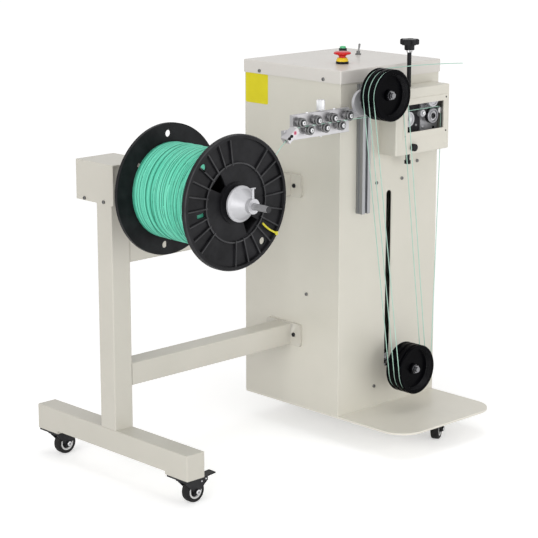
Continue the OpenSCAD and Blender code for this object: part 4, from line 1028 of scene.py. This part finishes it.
@dataclass
class Spool(SubAssembly):
    """The spool with its winding, shaft and cones."""

    x: float = -486.0
    z: float = 665.0
    wind_r: float = 101.0
    barrel_r: float = 77.0
    wire_d: float = 2.0
    flange_y: float = -185.0
    back_y: float = 33.0
    rim_r: float = 138.5
    shaded_end_y: float = -275.0

    def around(self, radius: float, y: float, angle: float) -> Vector:
        """A point at some radius from the spool's axis, at an angle in radians."""
        return point(self.x + radius * math.cos(angle), y, self.z + radius * math.sin(angle))

    def winding(self) -> None:
        """Close turns of wire in an outer layer, some of them straying over their neighbours."""
        low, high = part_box("wire_winding")
        margin, steps, shade = 1.2, 40, 2
        loose, sunk, bedded = 0.5, 0.9, 0.6
        first, last = low.y / MM + DATUM.y + margin, high.y / MM + DATUM.y - margin
        turns = int((last - first) / (self.wire_d * 1.03))
        pitch = (last - first) / turns
        core = self.wind_r - self.wire_d - 0.4
        rng = random.Random(7)
        # Turns in the darkest tone sink deeper and carry a painted shade in the gaps.
        tones = rng.choices((0, 1, 2), (5, 4, 3), k=turns + 2)
        lift = [rng.uniform(0.0, loose) - (sunk if tone == shade else 0.0) for tone in tones]
        stray = [rng.uniform(-loose, loose) for _ in range(turns + 2)]
        line: list[Vector] = []
        for k in range(turns * steps + 1):
            turn, share = divmod(k / steps, 1.0)
            n = int(turn)
            rise = lift[n] * (1 - share) + lift[n + 1] * share
            shift = stray[n] * (1 - share) + stray[n + 1] * share
            y = first + (last - first) * k / (turns * steps) + shift
            r = self.wind_r - self.wire_d / 2 - bedded + rise
            line.append(self.around(r, min(max(y, first), last), FULL_TURN * k / steps))
        solid = tube_mesh([line], self.wire_d * 1.04, 1)
        inner, span = self.barrel_r + 0.5, last - first + 2.0
        solid.turned([(inner, 0.0), (core, 0.0), (core, span), (inner, span), (inner, 0.0)],
                     point(self.x, first - 1.0, self.z), BACK, 96)

        def tone_at(p: Vector) -> int:
            """Tone of the turn that a place lies on, and the painted shade on the core below the turns.

            Args:
                p: A place in the datum.

            Returns:
                The number of the finish there.
            """
            if math.hypot(p.x - self.x, p.z - self.z) < core + 0.2:
                return shade
            share = math.atan2(p.z - self.z, p.x - self.x) / FULL_TURN % 1.0
            return tones[min(max(round((p.y - first) / pitch - share), 0), turns)]

        self.bench.piece("winding", solid.painted(tone_at), WOUND_TONES, "spool", "wire_green",
                         ["wire_winding"], 60.0)
        self.strays(rng, first, last)

    def strays(self, rng: random.Random, first: float, last: float) -> None:
        """Turns that run aslant over the others.

        Args:
            rng: Source of their places.
            first: Near end of the winding along Y.
            last: Far end of the winding along Y.
        """
        each, count = 12, 36
        for number, finish in enumerate(WOUND_TONES, 1):
            runs: list[list[Vector]] = []
            for _ in range(each):
                start, turn = rng.uniform(first + 4, last - 40), rng.uniform(0, 360)
                reach, slant = rng.uniform(120, 330), rng.uniform(4, 36)
                run: list[Vector] = []
                for k in range(count):
                    dip = math.sin(math.pi * k / (count - 1)) ** 0.5
                    r = self.wind_r - self.wire_d + 0.3 + 1.1 * dip
                    a = math.radians(turn + reach * k / (count - 1))
                    run.append(self.around(r, start + slant * k / (count - 1), a))
                runs.append(run)
            self.bench.piece(f"winding_strays_{number}", tube_mesh(runs, self.wire_d, 1), [finish], "spool",
                             "wire_green", (), 60.0)

    def highlit_edges(self, p: Vector) -> int:
        """1 on the ribs, the ring and the rims' chamfers, which take a painted highlight; 0 elsewhere.

        Args:
            p: A place in the datum.

        Returns:
            The number of the finish there.
        """
        out = math.hypot(p.x - self.x, p.z - self.z)
        deep = min(p.y - self.flange_y, self.back_y - p.y)
        on_rib = 60.0 < out < 126.0 and 0.7 < deep < 2.3
        return 1 if on_rib or (out > self.rim_r - 2.2 and 0.2 < deep < 1.8) else 0

    def tie(self) -> None:
        """The yellow tie that holds the end of the wire on the near flange."""
        y = self.flange_y - 1.0
        line = smoothed([point(x, y + rise, z) for x, rise, z in (
            (-416, 0.4, 614), (-408, -0.6, 606), (-397, -0.4, 598), (-386, -0.4, 592), (-377, -0.2, 587))])
        solid = tube_mesh([line], 4.2)
        solid.block(point(-381, y - 3.2, 584), point(-375.5, y + 1.2, 592), 1.0)
        self.bench.piece("flange_tie", solid, [TIE_YELLOW], "spool", "signal_yellow")

    def build(self) -> None:
        """Makes and dresses the spool."""
        moulding = self.bench.copy("spool").painted(self.highlit_edges)
        self.bench.piece("spool_moulding", moulding, [SPOOL_BLACK, SPOOL_EDGE_HIGHLIGHT], "spool", "black_plastic",
                         ["spool"])
        # The front end of the shaft is painted dark steel, a painted shade.
        shaft = self.bench.copy("spool_shaft").painted(lambda p: 1 if p.y < self.shaded_end_y else 0)
        steel = SHAFT_STEEL.about_y("spool_shaft_steel", self.x, self.z)
        self.bench.piece("shaft_bar", shaft, [steel, DARK_STEEL], "spool", "bright_steel", ["spool_shaft"])
        self.bench.dress("centring_cones", CAST_ALUMINIUM.about_y("cone_aluminium", self.x, self.z))
        self.winding()
        self.tie()


@dataclass
class Stand(SubAssembly):
    """Welded stand of square tube with the head box."""

    corner: float = 2.6

    def build(self) -> None:
        """Makes copies of the tubes and sheets with rounded bends, and dresses the bearing."""
        for node, axes in (("post", "z"), ("foot_beam", "xyz"), ("upper_beam", "x"), ("lower_beam", "x"),
                           ("head_box", "xyz")):
            # The stand's paint is the cream paint darkened into a painted shade.
            solid = self.bench.copy(node).round_edges(self.corner, 4, bends(axes))
            self.bench.piece(node + "_tube", solid, [STAND_SHADED_PAINT], "frame", "cream_paint", [node])
        self.bench.dress("spool_bearing", STAND_SHADED_PAINT)


@dataclass
class Casters(SubAssembly):
    """Four swivel casters, two of them with a brake."""

    swivels: Sequence[Triple] = ((-514.0, -49.5, 0.0), (-514.0, 392.5, 0.0), (180.0, -140.0, 29.0),
                                 (180.0, 245.0, 0.0))
    trail: float = 22.0
    axle_z: float = 25.0
    tyre: Profile = ((17.0, 9.0), (20.5, 9.9), (22.5, 9.6), (24.2, 8.2), (25.0, 5.5))
    rim: Profile = ((12.6, 6.5), (13.4, 9.2), (16.2, 9.6), (17.0, 8.8))
    boss: Profile = ((4.1, 9.8), (7.5, 9.8), (8.6, 8.6), (9.0, 6.0), (12.8, 6.0))

    def wheel(self, number: int) -> None:
        """Tyre, hub and axle nuts of one caster.

        Args:
            number: The caster's number, from 1.
        """
        x, y, heading = self.swivels[number - 1]
        a = math.radians(heading)
        centre = point(x + self.trail * math.cos(a), y + self.trail * math.sin(a), self.axle_z)
        axis = Vector((-math.sin(a), math.cos(a), 0.0))
        body = f"caster_wheel_{number}"
        for name, half, steps, finish, slot, stands_for in (
                ("tyre", self.tyre, 64, TYRE_RUBBER, "caster_tread", [body]),
                ("rim", self.rim, 64, PALE_HUB, "caster_tread", ()),
                ("boss", self.boss, 48, MOULDED_BLACK, "black_plastic", ())):
            solid = Solid().turned(mirrored(half), centre, axis, steps)
            self.bench.piece(f"caster_{name}_{number}", solid, [finish], body, slot, stands_for)
        nuts = Solid()
        for out in (-axis, axis):
            nuts.screw_head(centre + out * 17.4 * MM, out, 11.0, 2.2, Recess.HEX, 5.0)
        self.bench.piece(f"caster_nut_{number}", nuts, [BRIGHT_STEEL], f"caster_fork_{number}",
                         "bright_steel")

    def rivets(self, number: int) -> None:
        """Bright rivets of the brake on both legs of a fork.

        Args:
            number: The caster's number, from 1.
        """
        x, y, _ = self.swivels[number - 1]
        solid = Solid()
        for side in (-1, 1):
            for along, z in ((48.0, 48.0), (36.0, 45.0)):
                solid.turned([(0.0, 1.5), (1.4, 1.2), (2.4, 0.0)], point(x + along, y + side * 12.9, z),
                             (0, side, 0), 16)
        self.bench.piece(f"brake_rivets_{number}", solid, [BRIGHT_STEEL], f"caster_fork_{number}",
                         "bright_steel")

    def build(self) -> None:
        """Makes and dresses the casters."""
        self.bench.dress("caster_plates", DARK_STEEL)
        for number in range(1, 5):
            self.bench.dress(f"caster_fork_{number}", DARK_STEEL)
            self.wheel(number)
        for number in (1, 2):
            self.bench.dress(f"brake_pedal_{number}", MOULDED_BLACK)
            self.rivets(number)


@dataclass
class Cabinet(SubAssembly):
    """Sheet cabinet on its base plate, with lid and screws."""

    bend: float = 4.0

    def sheets(self) -> None:
        """Copies of the sheet nodes with rounded bends."""
        for node, bend, finish, slot in (("cabinet_shell", self.bend, CREAM_PAINT, "cream_paint"),
                                         ("top_cover", self.bend - 1.0, LID_PAINT, "lid_paint")):
            solid = self.bench.copy(node).round_edges(bend, 5, bends())
            self.bench.piece(node + "_sheet", solid, [finish], "frame", slot, [node])
        solid = self.bench.copy("base_plate").round_edges(0.8, 2, angle=60.0)
        # The base plate's paint is lightened, a painted light.
        self.bench.piece("base_plate_sheet", solid, [BASE_LIT_PAINT], "frame", "cream_paint", ["base_plate"])

    def screws(self) -> None:
        """Pan heads with a cross recess on the sheets, and black socket screws on the flanges."""
        seats = [(point(x, y, 847), axis) for y in (51, 258) for x, axis in ((-3, LEFT), (333, RIGHT))]
        seats += [(point(0, 104, 341), LEFT)]
        seats += [(point(164 + side * 43, 0, z), FRONT) for side in (-1, 1) for z in (116, 602)]
        seats += [(point(259, 0, 637), FRONT)]
        seats += [(point(-539, y, 623), LEFT) for y in (173, 238)]
        seats += [(point(x, 310, z), BACK) for x in (30, 300) for z in (127, 808)]
        rng = random.Random(3)
        bright, black = Solid(), Solid()
        for seat, axis in seats:
            bright.screw_head(seat, axis, 8.0, 3.0, Recess.CROSS, 4.6, rng.uniform(0, 1.5))
        self.bench.piece("pan_screws", bright, [SCREW_ZINC], "frame", "bright_steel", ["fasteners"])
        for z in (238, 593):
            for y in (139, 209):
                black.screw_head(point(-5, y, z), LEFT, 10.2, 5.2, Recess.HEX, 5.6, rng.uniform(0, 1.5))
        self.bench.piece("flange_screws", black, [DARK_STEEL], "frame", "dark_steel")

    def sticker(self) -> None:
        """The blank yellow sticker on the left side."""
        solid = Solid().block(point(-0.35, 233, 770), point(0.05, 308, 840))
        corners = [edge for edge in solid.bm.edges if abs(edge.verts[0].co.x - edge.verts[1].co.x) > 1e-5]
        solid.bevel(corners, 4.0, 6)
        self.bench.piece("side_sticker", solid, [STICKER_YELLOW], "frame", "signal_yellow")

    def build(self) -> None:
        """Makes and dresses the cabinet."""
        self.sheets()
        self.screws()
        self.sticker()
        self.bench.dress("rear_panel", CREAM_PAINT)
        self.bench.dress("dancer_guide", DARK_STEEL)


@dataclass
class LoopPulleys(SubAssembly):
    """The two three-groove pulleys and what carries them."""

    wall_r: Spot = (30.0, 53.0)
    wall_y: Spot = (-98.9, -85.1)

    def pulley(self, node: str, x: float, z: float) -> None:
        """A copy of one pulley, with gloss on the wall of the recess in its face.

        Args:
            node: The pulley's CAD node.
            x: The axle's place along X.
            z: The axle's height.
        """

        def wall(p: Vector) -> int:
            """1 on the recess's wall, 0 elsewhere."""
            inside = self.wall_r[0] < math.hypot(p.x - x, p.z - z) < self.wall_r[1]
            return 1 if inside and self.wall_y[0] < p.y < self.wall_y[1] else 0

        finishes = [PULLEY_BLACK.about_y(node + "_black", x, z), PULLEY_GLOSS]
        solid = self.bench.copy(node).painted(wall)
        self.bench.piece(node + "_turned", solid, finishes, node, "black_plastic", [node])

    def build(self) -> None:
        """Makes the pulleys and dresses their shafts."""
        self.pulley("upper_pulley", *UPPER_PULLEY)
        self.pulley("lower_pulley", *LOWER_PULLEY)
        self.bench.dress("pulley_shaft", NOSE_STEEL.about_y("upper_shaft_steel", *UPPER_PULLEY))
        self.bench.dress("dancer_carriage", NOSE_STEEL.about_y("lower_shaft_steel", *LOWER_PULLEY))


@dataclass
class Straightener(SubAssembly):
    """Roller straightener on its rail."""

    knob: Triple = (-88.0, -25.0, 794.0)
    top_row: Sequence[float] = (-164.0, -115.0, -66.0, -17.0)
    low_row: Sequence[float] = (-139.5, -90.5, -41.5)
    row_z: Spot = (776.3, 757.7)
    shade_ring_y: float = -48.0
    axle_y: float = -48.4
    disc: Triple = (36.0, 800.0, 27.5)
    guide: Triple = (-196.0, 752.0, 36.0)

    def rollers(self) -> None:
        """Finish of the rollers, dark rings of painted shade in their faces and the socket heads on their
        axles.
        """
        places = [(x, self.row_z[0]) for x in self.top_row] + [(x, self.row_z[1]) for x in self.low_row]
        shade_ring = [(4.4, 0.0), (7.6, 0.0), (7.6, 0.2), (7.1, 0.35), (4.4, 0.1), (4.4, 0.0)]
        heads = Solid()
        for number, (x, z) in enumerate(places, 1):
            body = f"straightener_roller_{number}"
            self.bench.dress(body, ROLLER_STEEL.about_y(f"roller_steel_{number}", x, z))
            # A dark disc in each roller's face: painted shade between the rim and the head.
            disc = Solid().turned(shade_ring, point(x, self.shade_ring_y, z), FRONT, 40)
            self.bench.piece(f"roller_shade_ring_{number}", disc, [DARK_STEEL], body, "dark_steel")
            heads.screw_head(point(x, self.axle_y, z), FRONT, 8.6, 3.2, Recess.HEX, 4.2, 0.4 * number)
        self.bench.piece("axle_heads", heads, [BRIGHT_STEEL], "frame", "bright_steel")

    def plate(self) -> None:
        """Plate with its clamping disc, and the screws in its edges."""
        disc_x, disc_z, disc_r = self.disc

        def zone(p: Vector) -> int:
            """1 on the disc, 2 on the axles, 0 on the plate.

            Args:
                p: A place in the datum.

            Returns:
                The number of the finish there.
            """
            if math.hypot(p.x - disc_x, p.z - disc_z) < disc_r + 0.5 and p.y < -26.1:
                return 1
            return 2 if p.y < -30.2 else 0

        solid = self.bench.copy("straightener_plate").round_edges(0.6, 2, bends(width=5.0)).painted(zone)
        turned = CAST_ALUMINIUM.about_y("disc_aluminium", disc_x, disc_z)
        self.bench.piece("straightener_block", solid, [MILLED_PLATE, turned, BRIGHT_STEEL], "frame",
                         "bare_aluminium", ["straightener_plate"])
        screws = Solid()
        for x in (-130.0, -46.0):
            screws.screw_head(point(x, -25, 792), UP, 6.4, 2.6, Recess.HEX, 3.0, 0.3)
        screws.screw_head(point(-88, -25, 738), DOWN, 6.4, 2.6, Recess.HEX, 3.0)
        for x in (-172.0, -30.0):
            screws.screw_head(point(x, -30, 744), FRONT, 4.2, 1.2, Recess.HEX, 2.2)
        self.bench.piece("edge_screws", screws, [BRIGHT_STEEL], "frame", "bright_steel")

    def inlet(self) -> None:
        """Sloping guide with a white bush, a pink mark and two black guide pins."""
        x, z, slope = self.guide
        stand = Matrix.Translation(point(x, -50, z)) @ Matrix.Rotation(-math.radians(slope), 4, "Y")
        self.bench.piece("inlet_block", self.bench.copy("inlet_guide").round_edges(0.7, 2, bends(width=5.0)),
                         [MILLED_PLATE], "frame", "bare_aluminium", ["inlet_guide"])
        mark, bush_at = Vector((8.0, 0.0, 1.5)) * MM, Vector((18.0, 8.0, 0.0)) * MM
        pin = [(2.55, 0.0), (3.3, 0.0), (3.5, 0.4), (3.5, 2.8), (2.9, 3.5), (0.0, 3.6)]
        pins = Solid()
        for along in (-13.0, -5.0):
            pins.turned(pin, Vector((along, 0.0, 3.8)) * MM, FRONT, 24)
        ring = Solid().turned([(1.7, 0.0), (4.4, 0.0), (4.2, 0.4), (1.7, 0.4), (1.7, 0.0)], mark, FRONT, 32)
        dot = Solid().turned([(0.0, 0.3), (1.7, 0.3), (1.7, 0.0)], mark, FRONT, 24)
        bush = Solid().turned([(1.5, 0.0), (6.6, 0.0), (6.8, 0.5), (6.6, 2.6), (1.5, 2.6), (1.5, 0.0)],
                              bush_at, RIGHT, 32)
        for name, solid, finish, slot in (("pins", pins, MOULDED_BLACK, "black_plastic"),
                                          ("mark", ring, PINK_MARK, "signal_red"),
                                          ("dot", dot, MARK_RED, "signal_red"),
                                          ("bush", bush, NYLON_WHITE, "black_plastic")):
            self.bench.piece("inlet_" + name, solid.moved(stand), [finish], "frame", slot)

    def grip(self) -> None:
        """The knurled adjusting knob."""
        seat = point(*self.knob)
        solid = Solid().fluted(seat, UP, 9.3, 23.0, 30, 0.5)
        solid.turned([(0.0, -14.0), (3.0, -14.0), (3.0, 1.0), (0.0, 1.0)], seat, UP, 24)
        self.bench.piece("knurled_knob", solid, [BRIGHT_STEEL], "adjust_knob", "bare_aluminium",
                         ["adjust_knob"])

    def build(self) -> None:
        """Makes and dresses the straightener."""
        self.bench.dress("profile_rail", ALUMINIUM)
        self.plate()
        self.inlet()
        self.rollers()
        self.grip()


@dataclass
class FeedUnit(SubAssembly):
    """Feed box with its wheels, press and knobs."""

    bend: float = 3.2
    guide: Spot = (177.0, 748.0)
    tension: Spot = (224.0, 757.2)
    drive: Spot = (259.0, 748.0)
    press: Spot = (259.0, 786.0)
    collar_z: Spot = (897.8, 903.1)
    plate_y: float = -18.0
    block_y: float = -23.0
    ring_y: float = -46.0
    socket_y: float = -48.0
    axle_y: float = -50.2
    window_y: float = -55.5

    def box(self) -> None:
        """The sheet box with rounded bends and small screws in the corners of its window frame."""
        solid = self.bench.copy("feed_box").round_edges(self.bend, 5, bends(width=20.0))
        self.bench.piece("feed_box_sheet", solid, [CREAM_PAINT], "frame", "cream_paint", ["feed_box"])
        screws = Solid()
        for x in (155.5, 294.5):
            for z in (711.5, 789.5):
                screws.screw_head(point(x, self.window_y, z), FRONT, 4.0, 0.7, Recess.CROSS, 2.4, 0.4)
        self.bench.piece("window_screws", screws, [DARK_STEEL], "frame", "dark_steel")

    def plate(self) -> None:
        """Dark plate with bright axles, a pale side block and the screws that hold them."""
        solid = self.bench.copy("feed_drive").painted(lambda p: 1 if p.y < -18.2 else 0)
        self.bench.piece("feed_plate", solid, [DARK_PLATE, BRIGHT_STEEL], "frame", "dark_steel",
                         ["feed_drive"])
        block = Solid().block(point(243, self.block_y, 712), point(302, -18.1, 776), 0.6)
        block.block(point(281, -22, 775), point(302, -18.1, 803), 0.6)
        self.bench.piece("side_block", block, [CAST_ALUMINIUM], "frame", "bare_aluminium")
        bright, dark = Solid(), Solid()
        for x, z in ((284, 731), (250, 720)):
            bright.screw_head(point(x, self.block_y, z), FRONT, 6.5, 2.4, Recess.HEX, 3.2)
        for x, z in ((170, 726), (205, 726), (232, 726), (200, 772)):
            bright.screw_head(point(x, self.plate_y, z), FRONT, 5.5, 2.2, Recess.CROSS, 3.2, 0.5)
        for x, z in ((286, 757), (286, 716)):
            dark.screw_head(point(x, self.block_y, z), FRONT, 6.0, 2.6, Recess.HEX, 3.4)
        self.bench.piece("plate_screws", bright, [BRIGHT_STEEL], "frame", "bright_steel")
        self.bench.piece("block_screws", dark, [DARK_STEEL], "frame", "dark_steel")

    def wheels(self) -> None:
        """Wheels of the feed and the screws in their middles."""
        for node, finish, place in (("drive_wheel", BRIGHT_STEEL, self.drive),
                                    ("guide_wheel", CAST_ALUMINIUM, self.guide),
                                    ("press_roller", CAST_ALUMINIUM, self.press),
                                    ("tension_roller", CAST_ALUMINIUM, self.tension)):
            self.bench.dress(node, finish.about_y(node + "_metal", *place))
        x, z = self.drive
        socket = Solid().screw_head(point(x, self.socket_y, z), FRONT, 11.0, 3.0, Recess.HEX, 6.0)
        self.bench.piece("drive_socket", socket, [DARK_STEEL], "drive_wheel", "dark_steel")
        band = [(8.2, 0.0), (9.4, 0.0), (9.4, 2.05), (8.2, 2.05), (8.2, 0.0)]
        for name, body, (x, z) in (("drive_ring", "drive_wheel", self.drive),
                                   ("press_ring", "press_roller", self.press)):
            ring = Solid().turned(band, point(x, self.ring_y, z), FRONT)
            self.bench.piece(name, ring, [BRIGHT_STEEL], body, "bright_steel")
        heads = Solid()
        for (x, z), head_d, recess, drive, roll in ((self.tension, 9.6, Recess.SLOT, 9.0, 0.5),
                                                    (self.guide, 9.4, Recess.HEX, 4.5, 0.0)):
            heads.screw_head(point(x, self.axle_y, z), FRONT, head_d, 1.6, recess, drive, roll)
        self.bench.piece("feed_heads", heads, [BRIGHT_STEEL], "frame", "bright_steel")

    def press_rod(self) -> None:
        """Black rod and star knob with a bright collar under the knob."""
        low, high = self.collar_z
        solid = self.bench.copy("press_screw").painted(lambda p: 1 if low < p.z < high else 0)
        self.bench.piece("press_rod", solid, [MOULDED_BLACK, BRIGHT_STEEL], "press_screw", "black_plastic",
                         ["press_screw"])

    def build(self) -> None:
        """Makes and dresses the feed unit."""
        self.box()
        self.plate()
        self.wheels()
        self.press_rod()
        self.bench.dress("press_block", DARK_STEEL)
        self.bench.dress("thumb_knob", MOULDED_BLACK)


@dataclass
class Controls(SubAssembly):
    """Emergency stop, start button and toggle switch on the lid."""

    stop: Spot = (97.0, 89.0)
    button: Spot = (271.0, 255.0)
    toggle: Spot = (250.0, 184.0)
    lid: float = 870.0

    def upright(self, name: str, profile: Profile, foot: Spot, steps: int, finish: Finish, body: str,
                slot: str, stands_for: Sequence[str] = ()) -> None:
        """A piece turned about an upright axis on the lid; what it is made of goes to Bench.piece().

        Args:
            name: Name of the piece.
            profile: Radius and height over the lid of each corner, in millimetres.
            foot: Where the axis meets the lid.
            steps: Facets round the axis.
            finish: Its finish.
            body: Body that it rides on.
            slot: Material slot of the record.
            stands_for: CAD nodes that it replaces.
        """
        solid = Solid().turned(profile, point(*foot, self.lid), UP, steps)
        self.bench.piece(name, solid, [finish], body, slot, stands_for)

    def emergency_stop(self) -> None:
        """Black ring, yellow collar and red head."""
        ring = [(8.1, 0.0), (14.4, 0.0), (14.7, 0.6), (14.7, 4.4), (14.2, 5.2), (8.1, 5.2), (8.1, 0.0)]
        collar = [(8.1, 5.2), (13.4, 5.2), (13.9, 5.8), (13.9, 8.0), (11.6, 13.2), (11.0, 13.9), (8.1, 13.9),
                  (8.1, 5.2)]
        head = [(0.0, 6.0), (7.9, 6.0), (7.9, 18.4), (9.6, 18.4), (11.2, 20.0), (14.0, 20.8), (18.4, 21.6),
                (19.7, 22.6), (20.0, 23.7), (19.6, 25.2), (18.4, 26.5), (16.0, 27.4), (10.0, 28.1),
                (0.0, 28.3)]
        self.upright("stop_ring", ring, self.stop, 64, MOULDED_BLACK, "frame", "black_plastic",
                     ["estop_base"])
        self.upright("stop_collar", collar, self.stop, 64, STOP_YELLOW, "frame", "signal_yellow")
        self.upright("stop_cap", head, self.stop, 72, STOP_RED, "estop_head", "signal_red", ["estop_head"])

    def switches(self) -> None:
        """Start button in its bezel and the toggle with its nut."""
        bezel = [(7.6, 0.0), (9.5, 0.0), (9.5, 6.8), (9.2, 7.6), (8.6, 8.0), (7.6, 8.0), (7.6, 0.0)]
        cap = [(0.0, 3.4), (7.4, 3.4), (7.4, 10.6), (7.0, 11.8), (6.0, 12.5), (3.0, 12.9), (0.0, 13.0)]
        bush = [(2.3, 4.2), (2.3, 0.2), (4.3, 0.2), (4.3, 8.6), (3.9, 9.0), (3.4, 9.0), (2.3, 4.2)]
        self.upright("button_bezel", bezel, self.button, 48, MOULDED_BLACK, "frame", "black_plastic",
                     ["switch_bushes"])
        self.upright("button_cap", cap, self.button, 48, BUTTON_GREEN, "start_button", "button_green",
                     ["start_button"])
        base = point(*self.toggle, self.lid)
        solid = Solid().turned(bush, base, UP, 36)
        radius, height = 7.5 * MM, 3.0 * MM
        middle = Matrix.Translation(base + Vector((0, 0, height / 2)))
        nut = bmesh.ops.create_cone(solid.bm, cap_ends=True, segments=6, radius1=radius, radius2=radius,
                                    depth=height, matrix=middle)
        solid.bevel(edges_of(nut["verts"]), 0.5, 2)
        self.bench.piece("toggle_bush", solid, [SCREW_ZINC], "frame", "bright_steel")
        self.bench.dress("toggle_lever", SCREW_ZINC)

    def build(self) -> None:
        """Makes and dresses the controls."""
        self.emergency_stop()
        self.switches()


def main() -> None:
    """Builds the studio and the machine over the frame."""
    logging.basicConfig(level=logging.INFO, format="%(name)s: %(message)s")
    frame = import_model()
    bench = Bench(frame)
    Studio().build()
    for part in (WireRun, Spool, Stand, Casters, Cabinet, LoopPulleys, Straightener, FeedUnit, Controls):
        part(bench).build()


if __name__ == "__main__":
    main()
